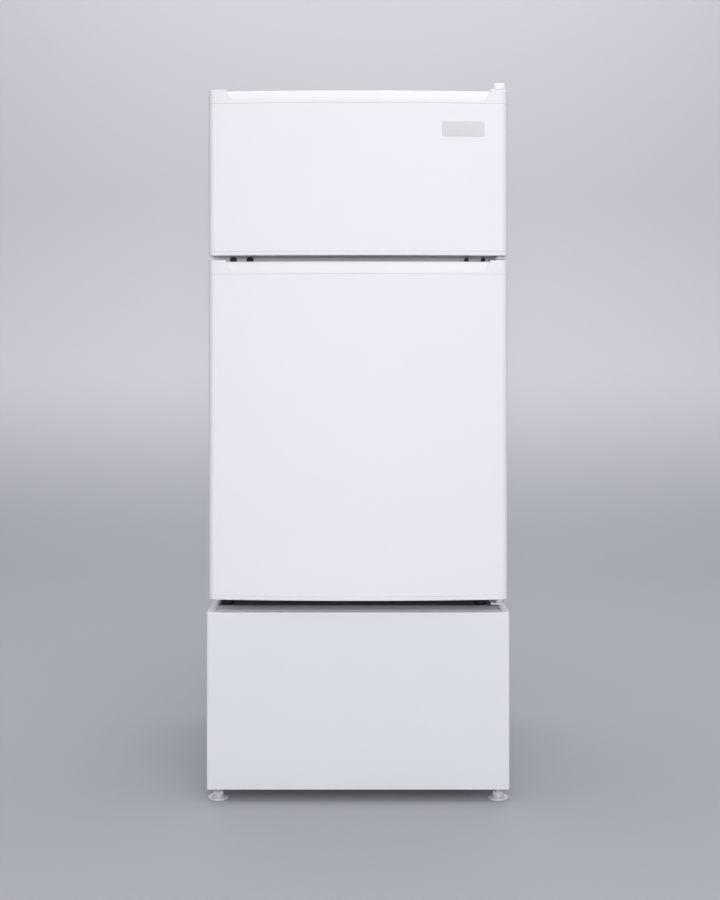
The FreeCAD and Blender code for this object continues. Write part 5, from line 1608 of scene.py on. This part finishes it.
@dataclass
class Inside(Dresser):
    """The two compartments with their shelves, drawer, console and cold plate."""

    half: float = 209.5
    front: float = -193.0
    back: float = 207.0
    rounding: float = 12.0
    rounding_run: float = 40.0
    sheet: float = 1.5
    ledge: tuple[float, float] = (6.5, 6.0)
    ledge_front: float = -104.0
    ledge_back: float = 187.0
    step_front: float = 62.0
    step_top: float = 533.0
    drawer_front: float = -100.0
    drawer_wall: float = 2.5
    plate_face: float = 199.0
    plate_sheet: float = 1.6
    plate_margin: float = 14.0
    channel: float = 4.6

    def build(self) -> None:
        """Dresses the nodes inside the cabinet."""
        front, back, step, rear = self.front, self.back, self.step_front, self.ledge_back
        self.tub("freezer_liner", [(front, 912.05, 0), (back, 912.05, 16), (back, 1136, 16),
                                   (front, 1136, 0)], [(1024, rear)])
        self.tub("fridge_liner", [
            (front, 359, 0), (step, 359, 18), (step, self.step_top, 16), (back, self.step_top, 18),
            (back, 872.05, 18), (front, 872.05, 0),
        ], [(self.step_top, step), (643, rear), (748, rear)])
        for name in ("crisper_cover", "fridge_shelf_lower", "fridge_shelf_upper"):
            self.glass(name)
        self.keep("freezer_shelf", INSIDE_PLASTIC)
        self.crisper()
        Console(self.frame).build()
        self.cold_plate()

    def tub(self, name: str, corners: Sequence[Corner], seats: Sequence[Point]) -> None:
        """A drawn compartment, round where its walls meet and open at the front.

        Args:
            name: the node.
            corners: its floor, back and ceiling as Y, Z and radius, from the front and back again.
            seats: the height and the rear end of each pair of ledges.
        """
        line = spaced(softened(corners, 8, closed=False), 12.0)
        inward = []
        for place in range(len(line)):
            start = Vector(line[max(place - 1, 0)])
            end = Vector(line[min(place + 1, len(line) - 1)])
            along = (end - start).normalized()
            inward.append((-along.y, along.x))
        right = []
        for step in range(7):
            row = []
            for (y, z), (ahead, upward) in zip(line, inward):
                radius = self.rounding * ease(self.front, self.front + self.rounding_run, y)
                inset, rise = round_edge(radius, 6)[step]
                row.append((self.half - rise, y + ahead * inset, z + upward * inset))
            right.append(row)
        left = [[(-x, y, z) for x, y, z in row] for row in right]
        skin = surface(name + "_skin", left + right[::-1], around=False)
        middle = Vector((0, (self.front + self.step_front) / 2,
                         (corners[0][1] + corners[-1][1]) / 2)) * MM
        if sum(face.normal.dot(middle - face.center) for face in skin.data.polygons) < 0:
            skin.data.flip_normals()
        thick = skin.modifiers.new("sheet", "SOLIDIFY")
        thick.thickness = self.sheet * MM
        thick.offset = -1.0
        wide, tall = self.ledge
        rails = [pillow("ledge", (low, self.ledge_front, seat - tall), (low + wide, rear, seat),
                        1.5)
                 for seat, rear in seats for low in (-self.half, self.half - wide)]
        self.stand_in(merged(name + "_drawn", baked(skin), *rails), LINER_PLASTIC, name)

    def glass(self, name: str) -> None:
        """A float-glass shelf with polished edges and white moulded trims.

        Args:
            name: the node.
        """
        low, high = self.box(name)
        self.stand_in(pillow(name + "_pane", low, high, 0.9, 5.0), FLOAT_GLASS, name)
        runs = [(low.y - 1.4, low.y + 7)]
        if name != "crisper_cover":
            runs.append((high.y - 11, high.y + 1))
        trims = [pillow("trim", (low.x, near, low.z - 2), (high.x, far, high.z + 2), 1.6, 2.0)
                 for near, far in runs]
        self.extra(merged(name + "_trims", *trims), INSIDE_PLASTIC)

    def crisper(self) -> None:
        """The clear drawer with its turned-down lip."""
        low, high = self.box("crisper_drawer")
        front, wall, reach = self.drawer_front, self.drawer_wall, high.x / 2
        tub = vessel("crisper_tub", (low.x, front, low.z), high, wall, 14.0, 14.0)
        section = softened([
            (front + wall, high.z, 0), (low.y, high.z, 2.2), (low.y, high.z - 12, 1.1),
            (low.y + wall, high.z - 12, 1.1), (low.y + wall, high.z - wall, 1.2),
            (front + wall, high.z - wall, 0),
        ])
        rows = []
        for step in range(-8, 9):
            side = reach * math.sin(QUARTER * step / 8)
            drop = 1.5 * ease(reach - 4, reach, abs(side))
            rows.append([(side, y, z - drop) for y, z in section])
        lip = surface("crisper_handle", rows)
        self.stand_in(merged("crisper_moulded", tub, lip), CLEAR_PLASTIC, "crisper_drawer")

    def cold_plate(self) -> None:
        """The rolled plate with its raised channel, on four spacers."""
        low, high = self.box("evaporator")
        face, margin, back = self.plate_face, self.plate_margin, self.plate_face - self.plate_sheet
        plate = pillow("plate", (low.x, back, low.z), (high.x, face, high.z), 0.5, 6.0, "front")
        bosses = [
            lathe("boss", [(0, 0, 0), (6, 0, 0.6), (5.4, 8, 0.4), (0, 8, 0)], (x, face, z), "back",
                  24)
            for x in (low.x + margin, high.x - margin) for z in (low.z + margin, high.z - margin)
        ]
        inset = 2 * margin
        route = snake(high.x - inset, low.z + inset, high.z - inset, 6, back)
        flat = [(across * 0.72, along) for across, along in circle(self.channel, 12)]
        channel = swept("channel", flat, route, 12.9, ROLLED_ALUMINIUM, steps=10)
        self.stand_in(merged("cold_plate", plate, channel, *bosses), ROLLED_ALUMINIUM,
                      "evaporator")


@dataclass
class Console(Dresser):
    """The housing under the ceiling with its knob, dial dots, plunger, lens and lamp."""

    knob_height: float = 10.0
    dots: int = 7
    dot_sweep: float = 270.0
    dot_reach: float = 17.0
    cap_front: float = 7.0
    cap_turns: int = 6
    cap_pitch: float = 3.0

    def build(self) -> None:
        """Dresses the console's nodes."""
        self.soften("thermostat_housing", INSIDE_PLASTIC, 0.9, 3)
        self.knob()
        self.plunger()
        self.soften("lamp_lens", CLEAR_PLASTIC, 0.6, 3)
        self.lamp()

    def knob(self) -> None:
        """The fluted knob with its grip, and the dots printed round it."""
        low, high = self.box("thermostat_knob")
        x, _, z = midpoint(low, high)
        face = high.y - self.knob_height
        radius, rise = (high.x - low.x) / 2, face - low.y
        turned = lathe("knob_turned", [
            (0, -10, 0), (3, -10, 0.4), (3, 0.4, 0), (radius, 0.4, 0.5),
            (radius, rise - 3.4, 1.4), (radius - 2, rise - 1.6, 1.2), (0, rise - 1.6, 0),
        ], (x, face, z), "front", 144, flutes=24, flute_depth=0.05)
        grip = pillow("knob_grip", (x - 1.5, low.y, z - (radius - 3)),
                      (x + 1.5, low.y + 3, z + (radius - 3)), 0.7, 1.2, "front")
        self.stand_in(merged("thermostat_dial", turned, grip), INSIDE_PLASTIC, "thermostat_knob")
        spots = []
        for number in range(self.dots):
            turn = math.radians(self.dot_sweep * (number / (self.dots - 1) - 0.5))
            spots.append(((x + self.dot_reach * math.sin(turn), face,
                           z + self.dot_reach * math.cos(turn)), "front"))
        dot = lathe("dot", [(0, -0.2, 0), (0.9, -0.2, 0), (0.9, 0.15, 0.1), (0, 0.15, 0)],
                    steps=12, soft=2)
        self.set_out("dial_dots", dot, spots, DARK_PLASTIC)

    def plunger(self) -> None:
        """The door switch's plunger with its round nose."""
        low, high = self.box("door_switch_plunger")
        x, _, z = midpoint(low, high)
        radius, length = (high.x - low.x) / 2, high.y - low.y
        nose = lathe("switch_plunger", [
            (0, 0, 0), (radius, 0, 0.3), (radius, length, radius * 0.6), (0, length, 0),
        ], (x, high.y, z), "front", 32, 6)
        self.stand_in(nose, INSIDE_PLASTIC, "door_switch_plunger")

    def lamp(self) -> None:
        """The bulb's glass, with its threaded cap and its socket."""
        low, high = self.box("lamp_bulb")
        x, _, z = midpoint(low, high)
        place, end, base = (x, self.cap_front, z), self.cap_front - low.y, self.cap_front - high.y
        glass = lathe("bulb_blown", [
            (0, 18, 0), (6.2, 18, 0.3), (6.5, 23, 5), (11, 36, 8), (11, end - 8, 10),
            (3.5, end, 4), (0, end, 0),
        ], place, "front", 40, 6)
        self.stand_in(glass, BULB_GLASS, "lamp_bulb")
        thread = [(radius, start + self.cap_pitch * turn, 0.8) for turn in range(self.cap_turns)
                  for radius, start in ((7.0, 1.5), (6.4, 3.0))]
        cap = lathe("bulb_cap", [(0, 0, 0), (6.9, 0, 0.3), *thread, (0, 19.5, 0)], place, "front",
                    36, 3)
        self.extra(cap, PLATED_ZINC)
        socket = lathe("bulb_socket", [
            (0, base, 0), (9.1, base, 0.8), (9.1, -2, 1.2), (7.3, 0.5, 0.6), (0, 0.5, 0),
        ], place, "front", 36)
        self.extra(socket, INSIDE_PLASTIC)


def spaced(line: Sequence[Point], pitch: float) -> list[Point]:
    """Adds points so that none are further apart than a pitch.

    Args:
        line: the points of an open line.
        pitch: the longest step.

    Returns:
        The points.
    """
    points = [line[0]]
    for start, end in zip(line, line[1:]):
        here, there = Vector(start), Vector(end)
        parts = max(math.ceil((there - here).length / pitch), 1)
        points += [tuple(here.lerp(there, part / parts)) for part in range(1, parts + 1)]
    return points


def snake(half: float, low: float, high: float, rows: int, plane: float) -> list[Corner]:
    """The corners of a tube that runs side to side from the top down.

    Args:
        half: how far it runs to each side.
        low: the level of the last run.
        high: the level of the first run.
        rows: how many runs.
        plane: its Y.

    Returns:
        The corners.
    """
    step = (high - low) / (rows - 1)
    return [(end, plane, high - row * step) for row in range(rows)
            for end in ((half, -half) if row % 2 else (-half, half))]


# Cooling


@dataclass
class Cooling(Dresser):
    """The machine at the back: compressor, condenser, drier, pipes and drip pan."""

    centre: Point = (-40.0, 168.0)
    radius: float = 60.0
    weld: float = 2.5
    plate: float = 3.0
    plate_inset: float = 14.5
    mount_reach: Point = (74.0, 34.0)
    mount_bore: float = 4.0
    tube: float = 2.5
    suction: float = 3.0
    bend: float = 14.0
    plane: float = 252.0
    riser: float = -230.0
    shoulder: float = 382.0
    coil_bottom: float = 550.0
    coil_runs: int = 11
    wire: float = 0.75
    wire_pitch: float = 15.0
    wires: int = 26
    spacer: Corner = (16.0, 3.0, 22.0)
    drier_length: float = 90.0

    def build(self) -> None:
        """Dresses the cooling nodes."""
        self.compressor()
        self.grommets()
        self.soften("compressor_relay_cover", DARK_PLASTIC, 0.9, 3)
        low, high = self.box("drip_pan")
        self.stand_in(vessel("drip_tray", low, high, 2.0, 12.0, 8.0), DARK_PLASTIC, "drip_pan")
        self.condenser()
        self.drier()
        self.pipes()

    def compressor(self) -> None:
        """The pressed can with its weld seam, on its foot plate."""
        low, high = self.box("compressor")
        radius, seam, base, top = self.radius, self.radius + self.weld, low.z, high.z
        can = lathe("can", [
            (0, base + 0.5, 0), (36, base + 0.5, 8), (56, base + 11, 12), (radius, base + 29, 14),
            (radius, base + 65.5, 0.8), (seam, base + 67.9, 1.2), (seam, base + 72.9, 1.2),
            (radius, base + 75, 0.8), (radius, top - 24, 16), (50, top - 8.5, 14), (26, top, 8),
            (0, top, 0),
        ], (*self.centre, 0), steps=72, soft=6)
        foot = pillow("can_foot", (low.x, low.y + self.plate_inset, base),
                      (high.x, high.y - self.plate_inset, base + self.plate), 0.7, 12.0)
        foot = bored(foot, self.mount_bore, base - 2, base + 5, self.mounts(), 20)
        self.stand_in(merged("sealed_compressor", can, foot), BLACK_ENAMEL, "compressor")

    def mounts(self) -> list[Point]:
        """The places of the four mounts.

        Returns:
            Their X and Y.
        """
        across, along = self.mount_reach
        x, y = self.centre
        return [(x + right * across, y + rear * along) for right in (-1, 1) for rear in (-1, 1)]

    def grommets(self) -> None:
        """Four rubber mounts, each waisted and clipped through the plate."""
        floor = self.box("compressor_grommets")[0].z
        template = lathe("mount_template", [
            (0, 0, 0), (11, 0, 0.8), (11, 4, 0.8), (8.6, 6, 1.2), (9.4, 10, 1.2), (8.8, 14, 0.5),
            (4, 14, 0.2), (4, 17.2, 0.2), (5.6, 17.6, 0.5), (4.4, 19, 0.6), (0, 19, 0),
        ], steps=32)
        self.set_out("rubber_mounts", template, [((x, y, floor), "up") for x, y in self.mounts()],
                     RUBBER, "compressor_grommets")

    def condenser(self) -> None:
        """The black tube that snakes down the back, its wires and its spacers."""
        low, high = self.box("condenser_tube")
        plane, bottom = self.plane, self.coil_bottom
        top, half = high.z - self.tube, high.x - self.tube
        step = (top - bottom) / (self.coil_runs - 1)
        route = [(self.riser, plane, low.z), (self.riser, plane, top),
                 *snake(half, bottom, top, self.coil_runs, plane)[1:-1],
                 (half, plane, bottom), (half, plane, 500.0)]
        tube = swept("condenser_coil", circle(self.tube, 12), route, step * 0.46, BLACK_TUBE,
                     steps=10)
        self.stand_in(tube, BLACK_TUBE, "condenser_tube")

        low, high = self.box("condenser_wires")
        reach, pitch = self.tube + self.wire, self.wire_pitch
        first = -pitch * (self.wires - 1) / 2
        layers = [
            grown("wires", rods_tree(), None, BLACK_TUBE, Count=self.wires // 2,
                  Radius=self.wire * MM, Pitch=Vector((2 * pitch, 0, 0)) * MM,
                  Length=Vector((0, 0, high.z - low.z)) * MM,
                  First=Vector((first + number * pitch, plane + side, low.z)) * MM)
            for number, side in enumerate((-reach, reach))
        ]
        wide, thick, inset = self.spacer
        spacers = [pillow("spacer", (x, low.y, z), (x + wide, high.y, z + thick), 0.4)
                   for x in (inset - half, half - inset - wide)
                   for z in (low.z + 8 + inset / 2, top - step / 2)]
        self.stand_in(merged("condenser_grid", *layers, *spacers), BLACK_TUBE, "condenser_wires")

    def drier(self) -> None:
        """The copper drier with spun ends and its thin outlet."""
        low, high = self.box("filter_drier")
        x, plane, top, end = midpoint(low, high)[0], self.plane, high.z, self.drier_length
        can = lathe("drier_can", [
            (0, 0, 0), (3.5, 0, 0.5), (3.6, 4, 3), (9, 12, 5), (9, end - 12, 5),
            (2.8, end - 4, 3), (2.5, end, 0.4), (0, end, 0),
        ], (x, plane, top), "down", 40, 5)
        floor, inner = top - end - 18, plane - 56
        thin = swept("capillary", circle(1.0, 8), [
            (x, plane, top - end + 1), (x, plane, floor), (x, inner, floor), (x, inner, top),
        ], self.bend, COPPER)
        self.stand_in(merged("copper_drier", can, thin), COPPER, "filter_drier")

    def pipes(self) -> None:
        """The two copper pipes that leave the can."""
        x, y = self.centre
        plane, shoulder, branch = self.plane, self.shoulder, self.shoulder - 14
        discharge = swept("hot_pipe", circle(self.tube, 12), [
            (x - self.radius + 1, y, shoulder), (-142, y, shoulder), (-142, plane, shoulder),
            (self.riser, plane, shoulder), (self.riser, plane, 486.0),
        ], self.bend, COPPER)
        self.stand_in(discharge, COPPER, "discharge_pipe")
        suction = swept("cold_pipe", circle(self.suction, 12), [
            (0, 126, branch), (96, 126, branch), (96, 126, 500),
        ], self.bend, COPPER)
        self.stand_in(suction, COPPER, "suction_pipe")


# The studio


@dataclass
class Studio:
    """The floor with its curved backdrop, the lamps and the camera, in metres."""

    distance: float = 2.0488
    door_front: float = -0.250
    height: float = 0.752
    side: float = 0.0031
    lens_mm: float = 50.0
    shift_up: float = -0.11843
    floor_colour: str = "#B2B4BA"
    wall_colour: str = "#DEDEE4"
    sky_colour: str = "#EEF0F8"
    sky_strength: float = 0.24
    half_width: float = 9.0
    floor_front: float = -7.0
    wall: float = 3.2
    wall_height: float = 5.0
    cove: float = 1.4

    def build(self) -> None:
        """Makes the backdrop, the lamps and the camera."""
        self.backdrop()
        self.lamp("softbox", (0.1, -3.5, 1.7), (0.0, 0.0, 1.0), 4.0, 28.0)
        self.lamp("key", (1.1, -2.9, 3.0), (0.1, 0.0, 0.9), 2.4, 22.0)
        self.lamp("front", (0.0, -3.3, 0.98), (0.0, 0.0, 0.8), 0.5, 33.0).visible_glossy = False
        self.lamp("overhead", (0.0, 0.9, 3.6), (0.0, 1.4, 0.0), 4.5, 104.0)
        self.sky()
        self.camera()

    def backdrop(self) -> None:
        """A grey floor that curves up behind into a pale wall."""
        wall, radius = self.wall, self.cove
        outline = [(self.floor_front, 0.0)]
        for step in range(25):
            turn = QUARTER * step / 24
            outline.append((wall - radius + radius * math.sin(turn),
                            radius - radius * math.cos(turn)))
        outline.append((wall, self.wall_height))
        shape = bmesh.new()
        left, right = ([shape.verts.new((x, y, z)) for y, z in outline]
                       for x in (-self.half_width, self.half_width))
        for place in range(len(outline) - 1):
            shape.faces.new((left[place], right[place], right[place + 1], left[place + 1]))
        floor = solid("studio_floor", shape)
        smooth(floor.data, 60.0)
        paint = bpy.data.materials.new("studio paint")
        tree = blank_tree(paint)
        place = add_node(tree, "ShaderNodeTexCoord")["Object"]
        level = add_node(tree, "ShaderNodeSeparateXYZ", {"Vector": place})["Z"]
        share = add_node(tree, "ShaderNodeMapRange", {
            "Value": level, "From Min": 0.0, "From Max": 0.7,
        }, interpolation_type="SMOOTHSTEP")["Result"]
        colour = add_node(tree, "ShaderNodeMix", {
            "Factor": share, 6: linear(self.floor_colour), 7: linear(self.wall_colour),
        }, data_type="RGBA")[2]
        matte = add_node(tree, "ShaderNodeBsdfDiffuse", {"Color": colour})["BSDF"]
        add_node(tree, "ShaderNodeOutputMaterial", {"Surface": matte})
        floor.data.materials.append(paint)

    def lamp(self, name: str, place: Place, aim: Place, size: float, power: float) -> Thing:
        """Adds one square soft lamp.

        Args:
            name: the lamp's name.
            place: where it stands.
            aim: the point that it faces.
            size: its side.
            power: its power in watts.

        Returns:
            The lamp.
        """
        data = bpy.data.lights.new(name, "AREA")
        data.size = size
        data.energy = power
        thing = linked(name, data)
        thing.location = place
        thing.rotation_euler = (Vector(aim) - Vector(place)).to_track_quat("-Z", "Y").to_euler()
        return thing

    def sky(self) -> None:
        """A soft even light from all round."""
        world = bpy.data.worlds.new("studio")
        tree = blank_tree(world)
        glow = add_node(tree, "ShaderNodeBackground", {
            "Color": linear(self.sky_colour), "Strength": self.sky_strength,
        })["Background"]
        add_node(tree, "ShaderNodeOutputWorld", {"Surface": glow})
        bpy.context.scene.world = world

    def camera(self) -> None:
        """A level camera in front of the doors."""
        data = bpy.data.cameras.new("camera")
        data.lens = self.lens_mm
        data.shift_y = self.shift_up
        thing = linked("camera", data)
        thing.location = (self.side, self.door_front - self.distance, self.height)
        thing.rotation_euler = (QUARTER, 0.0, 0.0)
        bpy.context.scene.camera = thing
        bpy.context.scene.view_settings.view_transform = "Standard"


def main() -> None:
    """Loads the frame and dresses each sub-assembly in turn."""
    logging.basicConfig(level=logging.INFO, format="%(name)s: %(message)s", force=True)
    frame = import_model()
    Pedestal(frame).build()
    Cabinet(frame).build()
    Hinges(frame).build()
    Door(frame, "freezer", ("freezer_door_rack",), 916.05, 1132.0).build()
    Door(frame, "fridge", ("fridge_door_bottle_rack", "fridge_door_upper_rack")).build()
    Nameplate(frame).build()
    Inside(frame).build()
    Cooling(frame).build()
    Studio().build()


if __name__ == "__main__":
    main()
